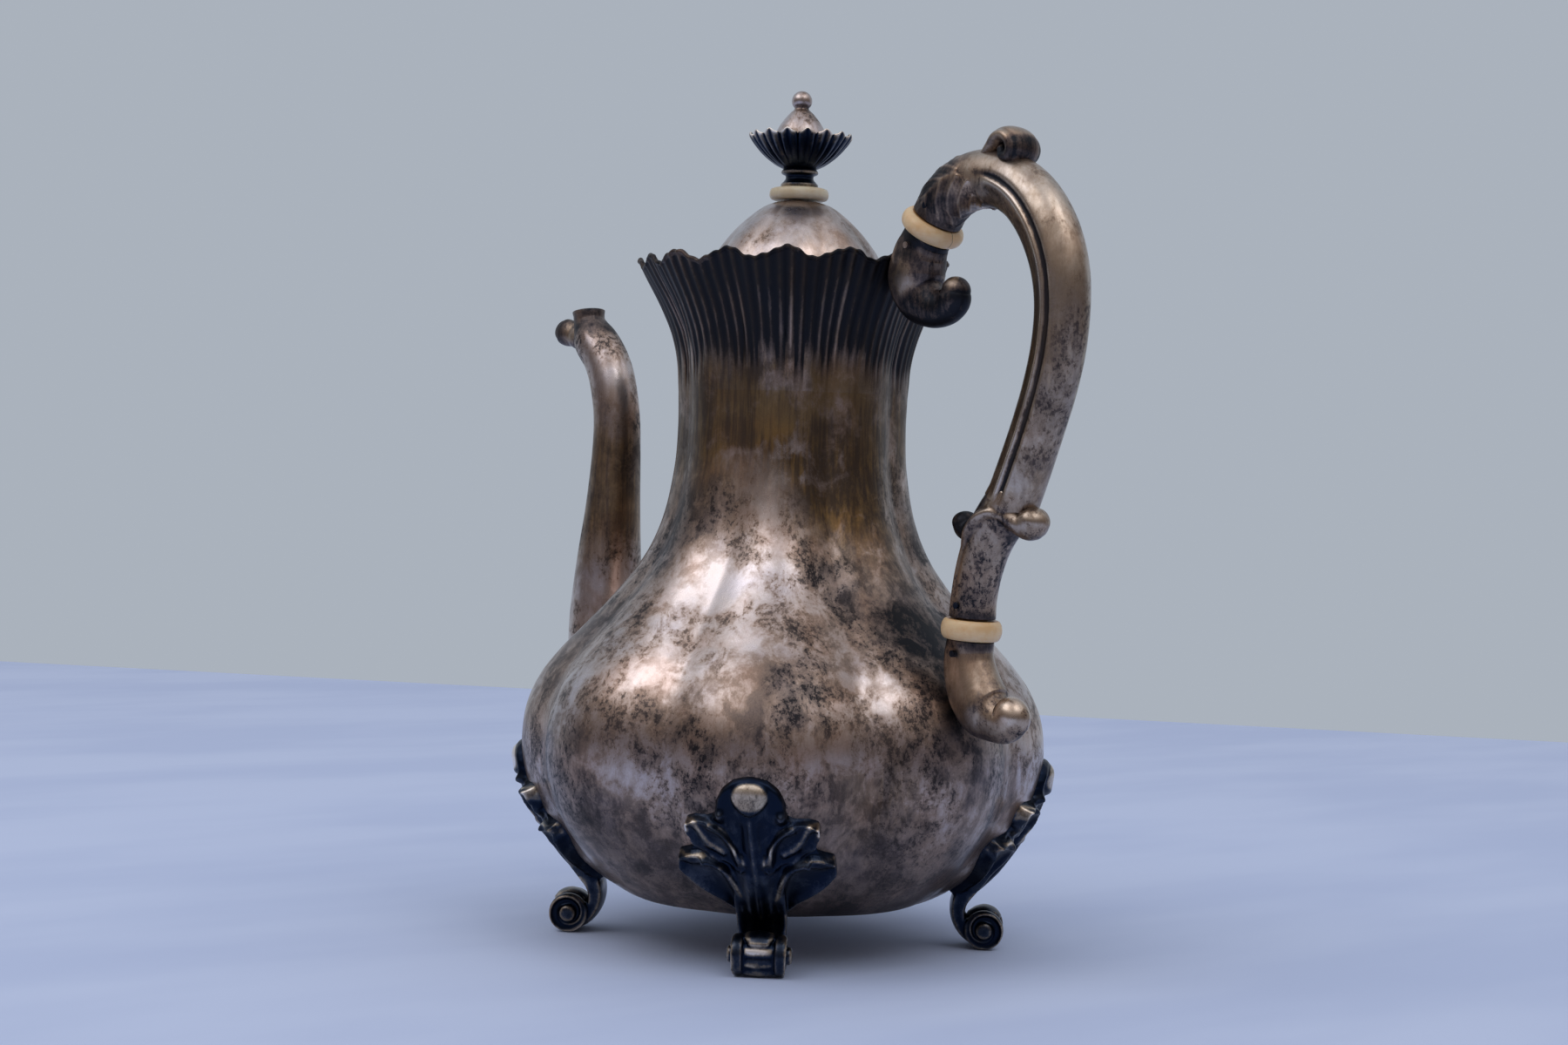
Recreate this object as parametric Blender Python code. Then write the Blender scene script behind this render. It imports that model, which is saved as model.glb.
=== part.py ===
"""Silver coffee pot: a lobed pear body on four cast feet, with a fluted collar, an S spout, a lift-off
lid with a turned finial, and a hollow scroll handle kept cool by two ivory rings.

The pot stands on z = 0 with its axis on +Z. The spout points along -X and the handle along +X.
Blender 4.5, metres. Run with: blender --background --python part.py
"""

import math

import bmesh
import bpy
from mathutils import Matrix, Vector

MM = 0.001
GAP = 0.3 * MM  # air left between two pieces that touch

# Body: crown radius of the lobes against height, from the bottom opening to the top of the neck.
LOBES = 8
LOBE_DEPTH = 0.076
SOFT_CREASE = 0.15
WALL = 1.0 * MM
BODY_CROWN = [
    (40.0, 13.2), (46.5, 14.0), (54.0, 17.6), (62.5, 24.0), (71.0, 33.0), (77.4, 43.0), (80.4, 53.0),
    (80.8, 62.0), (79.4, 71.0), (75.6, 79.5), (70.0, 87.0), (63.0, 94.5), (55.6, 102.5), (48.6, 111.0),
    (42.8, 120.0), (38.6, 131.0), (36.0, 145.0), (35.3, 157.0), (35.5, 168.0),
]
BODY_BANDS = [  # the body is raised in bands soldered edge to edge: first and last point of the crown
    ("body_bowl", 0, 5), ("body_belt", 5, 9), ("body_shoulder", 9, 14), ("body_neck", 14, 18),
]
BODY_STEPS = 48
LOBE_FADE_LOW = 13.0 * MM
LOBE_FADE_HIGH = 32.0 * MM
LOBE_AT_BASE = 0.35

# Collar: the flared, scalloped top above the neck.
COLLAR_CROWN = [(35.5, 168.3), (36.4, 178.0), (38.7, 187.0), (42.1, 195.5), (46.2, 203.5), (48.6, 208.3)]
COLLAR_STEPS = 64
SCALLOPS = 16
SCALLOP_RISE = 1.5 * MM
SCALLOP_SWELL = 0.7 * MM
SCALLOP_FROM = 186.0 * MM

# Lid and the ledge that it rests on.
SEAT_Z = 190.0 * MM
SEAT_THICK = 1.4 * MM
SEAT_BORE = 30.0 * MM
SEAT_WALL_CROWN = 40.0 * MM  # crown radius of the collar where the ledge sits
LID_CROWN = [
    (35.0, 190.3), (34.5, 192.4), (31.6, 196.6), (28.6, 202.0), (26.2, 206.4), (23.8, 211.0),
    (21.2, 215.0), (18.4, 218.8), (14.6, 222.8), (10.2, 226.2), (6.2, 227.6), (2.3, 227.9),
]
LID_STEPS = 32
LID_LOBE_DEPTH = 0.035
FLANGE_RADIUS = 29.5 * MM
FLANGE_WALL = 1.0 * MM
FLANGE_DEPTH = 7.0 * MM
FLANGE_LEDGE = 33.0 * MM

# Finial, from the ivory disc up to the ball.
BOLT_RADIUS = 1.6 * MM
BOLT_HOLE = 2.0 * MM
DISC_BOTTOM = 228.2 * MM
DISC_THICK = 3.6 * MM
DISC_RADIUS = 9.1 * MM
CUP_OUTSIDE = [
    (5.7, 232.1), (5.7, 233.0), (4.4, 234.6), (4.5, 235.8), (5.6, 236.6), (5.6, 237.6), (4.9, 238.6),
    (6.6, 240.4), (10.0, 242.8), (13.6, 244.9), (15.5, 246.6),
]
CUP_INSIDE = [(14.9, 247.1), (12.2, 245.9), (9.4, 244.9)]
CUP_STEPS = 32
KNOP_OUTSIDE = [(8.3, 245.2), (8.3, 247.0), (7.3, 250.0), (5.2, 253.2), (3.1, 255.5), (2.2, 256.5)]
BALL_RADIUS = 3.15 * MM
TOP_Z = 262.0 * MM
BOLT_TOP = 250.0 * MM
BOLT_BOTTOM = 220.6 * MM

# Spout: distance from the axis, height and outer radius down its middle line, mouth first.
SPOUT_LINE = [
    (107.4, 196.8, 5.3), (106.6, 193.2, 5.5), (103.2, 187.6, 7.4), (96.9, 181.0, 7.6), (92.6, 172.9, 7.7),
    (89.8, 161.1, 7.8), (89.5, 148.2, 8.2), (90.4, 131.1, 9.2), (91.6, 114.5, 10.7), (92.3, 100.7, 11.8),
    (92.2, 90.0, 12.6), (89.6, 78.5, 13.8), (84.0, 68.5, 15.2), (76.0, 61.5, 16.6), (69.0, 58.0, 17.4),
]
SPOUT_TUBES = [("spout_throat", 0, 5), ("spout_tube", 5, 14)]  # soldered end to end: first and last point
SPOUT_STEPS = 16
SPOUT_WALL = 1.1 * MM
SPOUT_HOLE_RADIUS = 12.0 * MM
LIP_LINE = [
    (107.2, 187.2, 3.0), (111.0, 188.2, 4.4), (115.0, 189.4, 4.3), (118.2, 190.2, 4.7), (120.2, 190.7, 4.6),
    (121.3, 190.9, 3.4),
]
LIP_WIDTH_RATIO = 0.85

# Handle: the ivory rings, and the middle lines of the silver pieces between them (x, z, half width).
UPPER_RING = (59.8, 216.5)
UPPER_RING_TILT = math.radians(34.0)
UPPER_RING_RADIUS = 9.6 * MM
UPPER_RING_THICK = 5.4 * MM
LOWER_RING = (81.0, 100.4)
LOWER_RING_TILT = math.radians(4.0)
LOWER_RING_RADIUS = 8.8 * MM
LOWER_RING_THICK = 5.8 * MM
SPIGOT_RADIUS = 4.4 * MM
SPIGOT_LENGTH = 6.5 * MM
PIN_RADIUS = 1.0 * MM
PIN_FROM_RING = 4.0 * MM
GRIP_LINE = [
    (61.50, 219.02, 7.4), (63.29, 221.68, 7.5), (66.8, 225.2, 7.7), (72.4, 228.0, 7.8), (79.8, 229.2, 7.9),
    (88.0, 228.0, 8.0), (96.0, 224.2, 8.3), (102.6, 218.0, 8.5), (107.7, 210.0, 8.5), (110.9, 201.0, 8.3),
    (111.9, 191.0, 8.0), (110.9, 180.0, 7.9), (108.1, 169.0, 7.8), (104.1, 158.0, 7.7), (99.6, 147.0, 7.8),
    (95.2, 137.0, 7.9),
]
GRIP_STEPS = 16
TAIL_LINE = [
    (94.9, 136.6, 7.6), (90.2, 131.2, 7.4), (86.2, 125.0, 7.1), (83.2, 117.0, 6.8), (81.63, 109.38, 6.7),
    (81.23, 103.64, 6.8),
]
OUTER_CURL = [(92.5, 133.0, 4.0), (97.5, 131.4, 3.6), (101.5, 130.2, 4.2), (103.0, 132.0, 3.9)]
INNER_CURL = [(86.5, 130.0, 3.6), (81.5, 129.2, 3.1), (77.6, 129.0, 3.6), (76.4, 131.2, 3.4)]
UPPER_SOCKET_LINE = [
    (58.10, 213.98, 7.6), (56.73, 211.94, 7.9), (55.0, 208.0, 8.6), (53.9, 201.9, 9.0), (56.0, 196.2, 7.8),
    (61.2, 192.9, 5.9), (66.6, 192.8, 5.2), (69.6, 195.0, 5.3), (70.4, 197.6, 4.3),
]
LOWER_SOCKET_LINE = [
    (80.78, 97.18, 7.3), (80.50, 93.20, 7.5), (81.0, 89.0, 8.1), (83.6, 82.2, 9.8), (88.4, 77.4, 10.6),
    (93.6, 77.6, 8.8), (96.6, 80.2, 7.0), (97.6, 82.8, 5.4),
]
SOCKET_STEPS = 16
THUMB_ROLL = (93.4, 238.2)
THUMB_ROLL_RADIUS = 5.3 * MM
THUMB_WIDTH = 8.4 * MM

# Feet: a rolled volute on the table, an S leg and a palmette that lies on the belly.
FOOT_ANGLES = {"foot_back_right": 45, "foot_back_left": 135, "foot_front_left": 225, "foot_front_right": 315}
VOLUTE_CENTRE = (64.2, 5.75)
VOLUTE_RADIUS = 5.9 * MM
VOLUTE_BARREL = 5.0 * MM
VOLUTE_HALF_WIDTH = 9.5 * MM
VOLUTE_RIM = 4.6 * MM
LEG_LINE = [  # radius and height of the strap's middle, its half width and its half thickness
    (66.6, 1.65, 6.2, 1.85), (63.2, 1.65, 6.2, 1.85), (59.4, 3.5, 6.4, 2.1), (56.2, 7.6, 6.7, 2.4),
    (55.2, 11.6, 6.9, 2.4),
]
PALMETTE_LINE = [  # height on the belly, half width and thickness
    (19.0, 7.4, 3.4), (23.0, 10.6, 3.2), (27.5, 16.5, 2.8), (32.0, 21.4, 2.4), (35.0, 21.8, 2.3),
    (38.5, 17.0, 2.5), (41.5, 18.0, 2.4), (44.5, 13.5, 2.6), (48.0, 6.6, 3.0), (51.0, 6.4, 4.6),
    (54.0, 5.2, 4.2), (56.3, 2.6, 1.8),
]
PALMETTE_COLUMNS = 6

SILVER = (0.56, 0.50, 0.47)
DARK_SILVER = (0.12, 0.12, 0.14)
IVORY = (0.82, 0.70, 0.50)


def clear_scene():
    for old in list(bpy.data.objects):
        bpy.data.objects.remove(old, do_unlink=True)


def finish(name, colour, metallic, roughness):
    """One Principled material for one sub-part."""
    made = bpy.data.materials.new(name)
    made.use_nodes = True
    shader = made.node_tree.nodes["Principled BSDF"]
    shader.inputs["Base Color"].default_value = (*colour, 1.0)
    shader.inputs["Metallic"].default_value = metallic
    shader.inputs["Roughness"].default_value = roughness
    return made


def silver(name):
    return finish(name, SILVER, 1.0, 0.32)


def dark_silver(name):
    return finish(name, DARK_SILVER, 1.0, 0.42)


def ivory(name):
    return finish(name, IVORY, 0.0, 0.38)


def add(name, mesh_maker, material):
    """Turn a filled bmesh into a named object of the scene."""
    bmesh.ops.recalc_face_normals(mesh_maker, faces=mesh_maker.faces)
    mesh = bpy.data.meshes.new(name)
    mesh_maker.to_mesh(mesh)
    mesh_maker.free()
    mesh.shade_smooth()
    mesh.set_sharp_from_angle(angle=math.radians(35))
    made = bpy.data.objects.new(name, mesh)
    if material is not None:
        mesh.materials.append(material)
    bpy.context.scene.collection.objects.link(made)
    return made


def helper(name, mesh_maker):
    """A cutter or a shape to be joined: kept out of the render."""
    made = add(name, mesh_maker, None)
    made.hide_render = True
    made.display_type = "WIRE"
    return made


def combine(target, operation, *others):
    for other in others:
        change = target.modifiers.new(f"{operation.lower()} {other.name}", "BOOLEAN")
        change.operation = operation
        change.solver = "EXACT"
        change.object = other


def metres(points):
    return [tuple(value * MM for value in point) for point in points]


def curve_through(points, per_span):
    """Catmull-Rom curve through the points, with per_span steps from each one to the next."""
    count = len(points)
    found = []
    for i in range(count - 1):
        before = points[max(i - 1, 0)]
        start, end = points[i], points[i + 1]
        after = points[min(i + 2, count - 1)]
        for step in range(per_span):
            t = step / per_span
            found.append(tuple(
                b + 0.5 * t * (c - a + t * (2 * a - 5 * b + 4 * c - d + t * (3 * b - a - 3 * c + d)))
                for a, b, c, d in zip(before, start, end, after)
            ))
    found.append(tuple(points[-1]))
    return found


def lobe(angle, depth):
    """Share of the crown radius at this angle: rounded lobes that meet in soft creases."""
    across = math.cos(LOBES / 2 * angle)
    rounded = math.sqrt(across * across + SOFT_CREASE ** 2) / math.sqrt(1 + SOFT_CREASE ** 2)
    return 1 - depth * (1 - rounded)


def body_warp(angle, radius, height):
    """The body's lobes, which fade towards the bottom."""
    share = min(max((height - LOBE_FADE_LOW) / (LOBE_FADE_HIGH - LOBE_FADE_LOW), 0.0), 1.0)
    depth = LOBE_DEPTH * (LOBE_AT_BASE + (1 - LOBE_AT_BASE) * share)
    return radius * lobe(angle, depth), height


def collar_warp(angle, radius, height):
    """The body's lobes at the neck, turning into the scalloped edge."""
    share = min(max((height - SCALLOP_FROM) / (208.3 * MM - SCALLOP_FROM), 0.0), 1.0)
    wave = math.cos(SCALLOPS * angle)
    radius = radius * lobe(angle, LOBE_DEPTH * (1 - 0.5 * share)) + SCALLOP_SWELL * wave * share
    return radius, height + SCALLOP_RISE * wave * share ** 2


def lid_warp(angle, radius, height):
    return radius * lobe(angle, LID_LOBE_DEPTH), height


def cup_warp(angle, radius, height):
    """The finial cup's scalloped edge."""
    share = max((radius - 6.0 * MM) / (15.5 * MM - 6.0 * MM), 0.0)
    wave = math.cos(SCALLOPS * angle)
    return radius + 0.35 * MM * wave * share, height + 0.5 * MM * wave * share ** 2


def turned(outline, steps, warp=None, closed=True):
    """Turn an outline of (radius, height) round the Z axis. A closed outline makes a ring."""
    maker = bmesh.new()
    rows = []
    for radius, height in outline:
        if radius < 1e-7:
            rows.append([maker.verts.new((0, 0, height))] * steps)
            continue
        row = []
        for step in range(steps):
            angle = 2 * math.pi * step / steps
            r, z = warp(angle, radius, height) if warp else (radius, height)
            row.append(maker.verts.new((r * math.cos(angle), r * math.sin(angle), z)))
        rows.append(row)
    pairs = list(zip(rows, rows[1:]))
    if closed:
        pairs.append((rows[-1], rows[0]))
    for low, high in pairs:
        for step in range(steps):
            after = (step + 1) % steps
            corners = [low[step], low[after], high[after], high[step]]
            face = [corner for i, corner in enumerate(corners) if corner not in corners[:i]]
            if len(face) > 2:
                maker.faces.new(face)
    return maker


def bridge(maker, rings):
    """Faces between each ring of vertices and the next."""
    for low, high in zip(rings, rings[1:]):
        count = len(low)
        for i in range(count):
            after = (i + 1) % count
            maker.faces.new([low[i], low[after], high[after], high[i]])


def line_frames(line):
    """Centre, in-plane normal and half width at each point of a line in the XZ plane."""
    frames = []
    last = len(line) - 1
    for i, (x, z, half) in enumerate(line):
        before, after = line[max(i - 1, 0)], line[min(i + 1, last)]
        along = Vector((after[0] - before[0], 0, after[1] - before[1])).normalized()
        frames.append((Vector((x, 0, z)), Vector((along.z, 0, -along.x)), half))
    return frames


def ring_on(maker, frame, steps, depth_ratio, width_ratio):
    centre, normal, half = frame
    row = []
    for step in range(steps):
        angle = 2 * math.pi * step / steps
        in_plane = normal * (half * depth_ratio * math.cos(angle))
        across = Vector((0, 1, 0)) * (half * width_ratio * math.sin(angle))
        row.append(maker.verts.new(centre + in_plane + across))
    return row


def rod(line, steps, per_span, depth_ratio=1.0, width_ratio=1.0, extra=0.0, round_end=False):
    """A solid rod of oval section along a line of (x, z, half width), capped at both ends."""
    points = [(x, z, half + extra) for x, z, half in curve_through(metres(line), per_span)]
    frames = line_frames(points)
    if round_end:
        centre, normal, half = frames[-1]
        along = Vector((-normal.z, 0, normal.x))
        frames.append((centre + along * half * 0.45, normal, half * 0.78))
        frames.append((centre + along * half * 0.75, normal, half * 0.36))
    maker = bmesh.new()
    rings = [ring_on(maker, frame, steps, depth_ratio, width_ratio) for frame in frames]
    bridge(maker, rings)
    maker.faces.new(rings[0])
    maker.faces.new(rings[-1])
    return maker


def pipe(line, steps, wall, first, last):
    """A round tube with an open bore along part of a line of (x, z, outer radius), from point first to last.

    A tube that doesn't start the line leaves a seam gap to the one before it.
    """
    frames = line_frames(metres(line))[first:last + 1]
    if first > 0:
        (centre, normal, half), (after, _, _) = frames[:2]
        frames[0] = (centre + (after - centre).normalized() * GAP, normal, half)
    maker = bmesh.new()
    outer = [ring_on(maker, frame, steps, 1.0, 1.0) for frame in frames]
    inner = [ring_on(maker, (c, n, half - wall), steps, 1.0, 1.0) for c, n, half in frames]
    bridge(maker, outer + inner[::-1] + outer[:1])
    return maker


def cylinder(centre, axis, radius, length, steps=12):
    """A closed cylinder about a centre, along an axis."""
    maker = bmesh.new()
    turn = Vector((0, 0, 1)).rotation_difference(axis).to_matrix().to_4x4()
    bmesh.ops.create_cone(
        maker, cap_ends=True, segments=steps, radius1=radius, radius2=radius, depth=length,
        matrix=Matrix.Translation(centre) @ turn,
    )
    return maker


def block(low, high):
    """A box between two corners."""
    maker = bmesh.new()
    bmesh.ops.create_cube(maker, size=1.0)
    size = Vector(high) - Vector(low)
    centre = (Vector(high) + Vector(low)) / 2
    bmesh.ops.transform(
        maker, matrix=Matrix.Translation(centre) @ Matrix.Diagonal((*size, 1.0)), verts=maker.verts,
    )
    return maker


def shell_outline(crown, wall):
    """Closed outline of a wall: up its outside and down its inside."""
    inside = []
    last = len(crown) - 1
    for i, (radius, height) in enumerate(crown):
        before, after = crown[max(i - 1, 0)], crown[min(i + 1, last)]
        along = Vector((after[0] - before[0], after[1] - before[1])).normalized()
        inside.append((radius - along.y * wall, height + along.x * wall))
    return crown + inside[::-1]


def body_radius(height):
    """Crown radius of the body at a height."""
    points = metres(BODY_CROWN)
    for (r0, z0), (r1, z1) in zip(points, points[1:]):
        if z0 <= height <= z1:
            return r0 + (r1 - r0) * (height - z0) / (z1 - z0)
    return points[0][0] if height < points[0][1] else points[-1][0]


def band_outline(outline, first, last):
    """Closed outline of one band of a wall, with a seam gap under every band but the lowest."""
    count = len(outline) // 2
    outside, inside = outline[:count], outline[count:][::-1]
    band = []
    for skin in (outside, inside):
        rows = [Vector(point) for point in skin[first:last + 1]]
        if first > 0:
            rows[0] = rows[0] + (rows[1] - rows[0]).normalized() * GAP
        band.append([tuple(row) for row in rows])
    return band[0] + band[1][::-1]


def make_body():
    crown = metres(BODY_CROWN)
    outline = shell_outline(crown, WALL)
    bands = {}
    for name, first, last in BODY_BANDS:
        bands[name] = add(name, turned(band_outline(outline, first, last), BODY_STEPS, body_warp), silver(name))
    centre = Vector((-77.0 * MM, 0, 60.5 * MM))
    combine(bands["body_belt"], "DIFFERENCE", helper(
        "cut_spout_hole", cylinder(centre, Vector((-0.92, 0, 0.39)), SPOUT_HOLE_RADIUS, 34 * MM, 16)
    ))
    low_r, low_z = crown[0]
    edge = low_r - GAP - WALL
    plate = [
        (0.0, low_z + 1.6 * MM), (edge * 0.6, low_z + 1.2 * MM), (edge, low_z), (edge, low_z + 1.2 * MM),
        (edge * 0.6, low_z + 2.4 * MM), (0.0, low_z + 2.8 * MM),
    ]
    add("base_plate", turned(plate, BODY_STEPS, body_warp, closed=False), silver("base silver"))


def make_collar():
    outline = shell_outline(metres(COLLAR_CROWN), WALL)
    add("fluted_collar", turned(outline, COLLAR_STEPS, collar_warp), dark_silver("collar silver"))
    # The ledge is soldered inside the collar, so its outer edge follows the collar's inner wall.
    rim = SEAT_WALL_CROWN - WALL - GAP
    low = SEAT_Z - SEAT_THICK
    ledge = [(rim - 0.6 * MM, low), (rim, SEAT_Z), (SEAT_BORE, SEAT_Z), (SEAT_BORE, low)]

    def ledge_warp(angle, radius, height):
        return (body_warp(angle, radius, height) if radius > SEAT_BORE + MM else (radius, height))

    add("lid_seat_ring", turned(ledge, LID_STEPS, ledge_warp), dark_silver("seat silver"))


def make_lid():
    outline = shell_outline(metres(LID_CROWN), WALL)
    low = LID_CROWN[0][1] * MM
    outline = [(radius, max(height, low)) for radius, height in outline]
    add("lid_dome", turned(outline, LID_STEPS, lid_warp), silver("lid silver"))
    top = SEAT_Z + GAP + WALL
    inner = FLANGE_RADIUS - FLANGE_WALL
    flange = [
        (inner, SEAT_Z - FLANGE_DEPTH), (FLANGE_RADIUS, SEAT_Z - FLANGE_DEPTH), (FLANGE_RADIUS, SEAT_Z + GAP),
        (FLANGE_LEDGE - 0.8 * MM, SEAT_Z + GAP), (FLANGE_LEDGE - 1.4 * MM, top), (inner, top),
    ]
    add("lid_flange", turned(flange, LID_STEPS), silver("flange silver"))


def washer(top, thick, radius, steps):
    """A flat ring round the finial's bolt, or with six steps its nut."""
    low = top - thick
    return turned([(BOLT_HOLE, low), (radius, low), (radius, top), (BOLT_HOLE, top)], steps)


def make_finial():
    top = DISC_BOTTOM + DISC_THICK
    bulge = 1.0 * MM
    disc = [
        (BOLT_HOLE, DISC_BOTTOM), (DISC_RADIUS - bulge, DISC_BOTTOM), (DISC_RADIUS, DISC_BOTTOM + bulge),
        (DISC_RADIUS, top - bulge), (DISC_RADIUS - bulge, top), (BOLT_HOLE, top),
    ]
    add("finial_ivory_disc", turned(disc, 24), ivory("disc ivory"))
    cup = metres([(2.0, 232.1)] + CUP_OUTSIDE + CUP_INSIDE + [(2.0, 244.9)])
    add("finial_cup", turned(cup, CUP_STEPS, cup_warp), dark_silver("cup silver"))
    ball_z = TOP_Z - BALL_RADIUS
    ball = [
        (BALL_RADIUS * math.cos(math.radians(a)), ball_z + BALL_RADIUS * math.sin(math.radians(a)))
        for a in (-42, -20, 0, 22, 45, 68)
    ]
    hole_top = BOLT_TOP + GAP
    knop = [(0.0, hole_top), (BOLT_HOLE, hole_top), (BOLT_HOLE, KNOP_OUTSIDE[0][1] * MM)]
    knop += metres(KNOP_OUTSIDE) + ball + [(0.0, TOP_Z)]
    add("finial_knop", turned(knop, 20, closed=False), silver("knop silver"))
    bolt_length = BOLT_TOP - BOLT_BOTTOM
    middle = Vector((0, 0, (BOLT_TOP + BOLT_BOTTOM) / 2))
    up = Vector((0, 0, 1))
    add("finial_bolt", cylinder(middle, up, BOLT_RADIUS, bolt_length), silver("bolt silver"))
    lid_under = LID_CROWN[-1][1] * MM - WALL
    washer_top = lid_under - GAP
    add("finial_washer", washer(washer_top, MM, 5.0 * MM, 16), silver("washer silver"))
    add("finial_nut", washer(washer_top - MM - GAP, 3 * MM, 3.6 * MM, 6), silver("nut silver"))


def belly_block():
    """The body's outside as a solid, a gap larger than the body, for cutting what is soldered on it."""
    grown = [(radius + GAP * 1.1, height) for radius, height in metres(BODY_CROWN)]
    outline = [(0.0, grown[0][1])] + grown + [(0.0, grown[-1][1])]
    return helper("cut_belly", turned(outline, BODY_STEPS, body_warp, closed=False))


def collar_block():
    """The collar's outside as a solid, a gap larger than the collar."""
    grown = [(radius + GAP * 1.2, height) for radius, height in metres(COLLAR_CROWN)]
    top_r, top_z = grown[-1]
    above = top_z + 1.5 * MM
    outline = [(0.0, grown[0][1])] + grown + [(top_r, above), (0.0, above)]
    return helper("cut_collar", turned(outline, COLLAR_STEPS, collar_warp, closed=False))


def make_spout(belly):
    line = [(-x, z, radius) for x, z, radius in SPOUT_LINE]
    for name, first, last in SPOUT_TUBES:
        tube = add(name, pipe(line, SPOUT_STEPS, SPOUT_WALL, first, last), silver(name + " silver"))
    combine(tube, "DIFFERENCE", belly)
    solid = helper("cut_spout", rod(line, SPOUT_STEPS, 1, extra=GAP))
    lip_line = [(-x, z, half) for x, z, half in LIP_LINE]
    lip = add(
        "spout_lip_scroll", rod(lip_line, 12, 1, width_ratio=LIP_WIDTH_RATIO),
        silver("lip silver"),
    )
    combine(lip, "DIFFERENCE", solid)


def ring_axis(tilt):
    return Vector((math.sin(tilt), 0, math.cos(tilt)))


def insulator(name, centre, tilt, radius, thick):
    """An ivory ring with a spigot at each side, turned in one piece."""
    bulge = thick * 0.28
    half = thick / 2
    reach = half + SPIGOT_LENGTH
    shoulder = half - bulge * 0.6
    outline = [
        (0.0, -reach), (SPIGOT_RADIUS, -reach), (SPIGOT_RADIUS, -half), (radius - bulge, -half),
        (radius - bulge * 0.25, -shoulder), (radius, 0.0), (radius - bulge * 0.25, shoulder),
        (radius - bulge, half), (SPIGOT_RADIUS, half), (SPIGOT_RADIUS, reach), (0.0, reach),
    ]
    maker = turned(outline, 20, closed=False)
    turn = Matrix.Rotation(tilt, 4, "Y")
    place = Matrix.Translation(Vector((centre[0] * MM, 0, centre[1] * MM))) @ turn
    bmesh.ops.transform(maker, matrix=place, verts=maker.verts)
    return add(name, maker, ivory(name.replace("_", " ")))


def pinned(name, ring, tilt, thick, side, length, pieces):
    """A cross pin through a socket and the ivory spigot in it, with its holes."""
    away = ring_axis(tilt) * (side * (thick / 2 + PIN_FROM_RING))
    centre = Vector((ring[0] * MM, 0, ring[1] * MM)) + away
    across = Vector((0, 1, 0))
    add(name, cylinder(centre, across, PIN_RADIUS, length, 10), silver(name.replace("_", " ")))
    hole = helper(f"cut_{name}", cylinder(centre, across, PIN_RADIUS + GAP, length + 10 * MM, 10))
    for piece in pieces:
        combine(piece, "DIFFERENCE", hole)


def spigot_bore(name, ring, tilt, thick, side):
    """Cutter for the blind bore that takes a spigot, from the ring's face inwards."""
    axis = ring_axis(tilt) * side
    depth = SPIGOT_LENGTH + GAP * 2 + MM
    centre = Vector((ring[0] * MM, 0, ring[1] * MM)) + axis * (thick / 2 - MM + depth / 2)
    return helper(name, cylinder(centre, axis, SPIGOT_RADIUS + GAP, depth, 16))


def make_thumb_scroll(grip_solid):
    """A leaf that rises from the grip and rolls over outwards."""
    cx, cz = THUMB_ROLL[0] * MM, THUMB_ROLL[1] * MM
    outline = [(79.0 * MM, 233.5 * MM), (79.5 * MM, 237.4 * MM), (85.5 * MM, 239.4 * MM)]
    for angle in range(150, -91, -30):
        turn = math.radians(angle)
        outline.append((cx + THUMB_ROLL_RADIUS * math.cos(turn), cz + THUMB_ROLL_RADIUS * math.sin(turn)))
    outline.append((92.0 * MM, 230.0 * MM))
    maker = bmesh.new()
    sides = []
    for y, share in ((-0.5, 0.82), (-0.36, 1.0), (0.36, 1.0), (0.5, 0.82)):
        middle = Vector((cx - 3 * MM, cz - 2 * MM))
        row = []
        for x, z in outline:
            point = middle + (Vector((x, z)) - middle) * share
            row.append(maker.verts.new((point.x, y * THUMB_WIDTH, point.y)))
        sides.append(row)
    bridge(maker, sides)
    maker.faces.new(sides[0])
    maker.faces.new(sides[-1])
    scroll = add("thumb_scroll", maker, silver("thumb silver"))
    combine(scroll, "DIFFERENCE", grip_solid)


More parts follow.
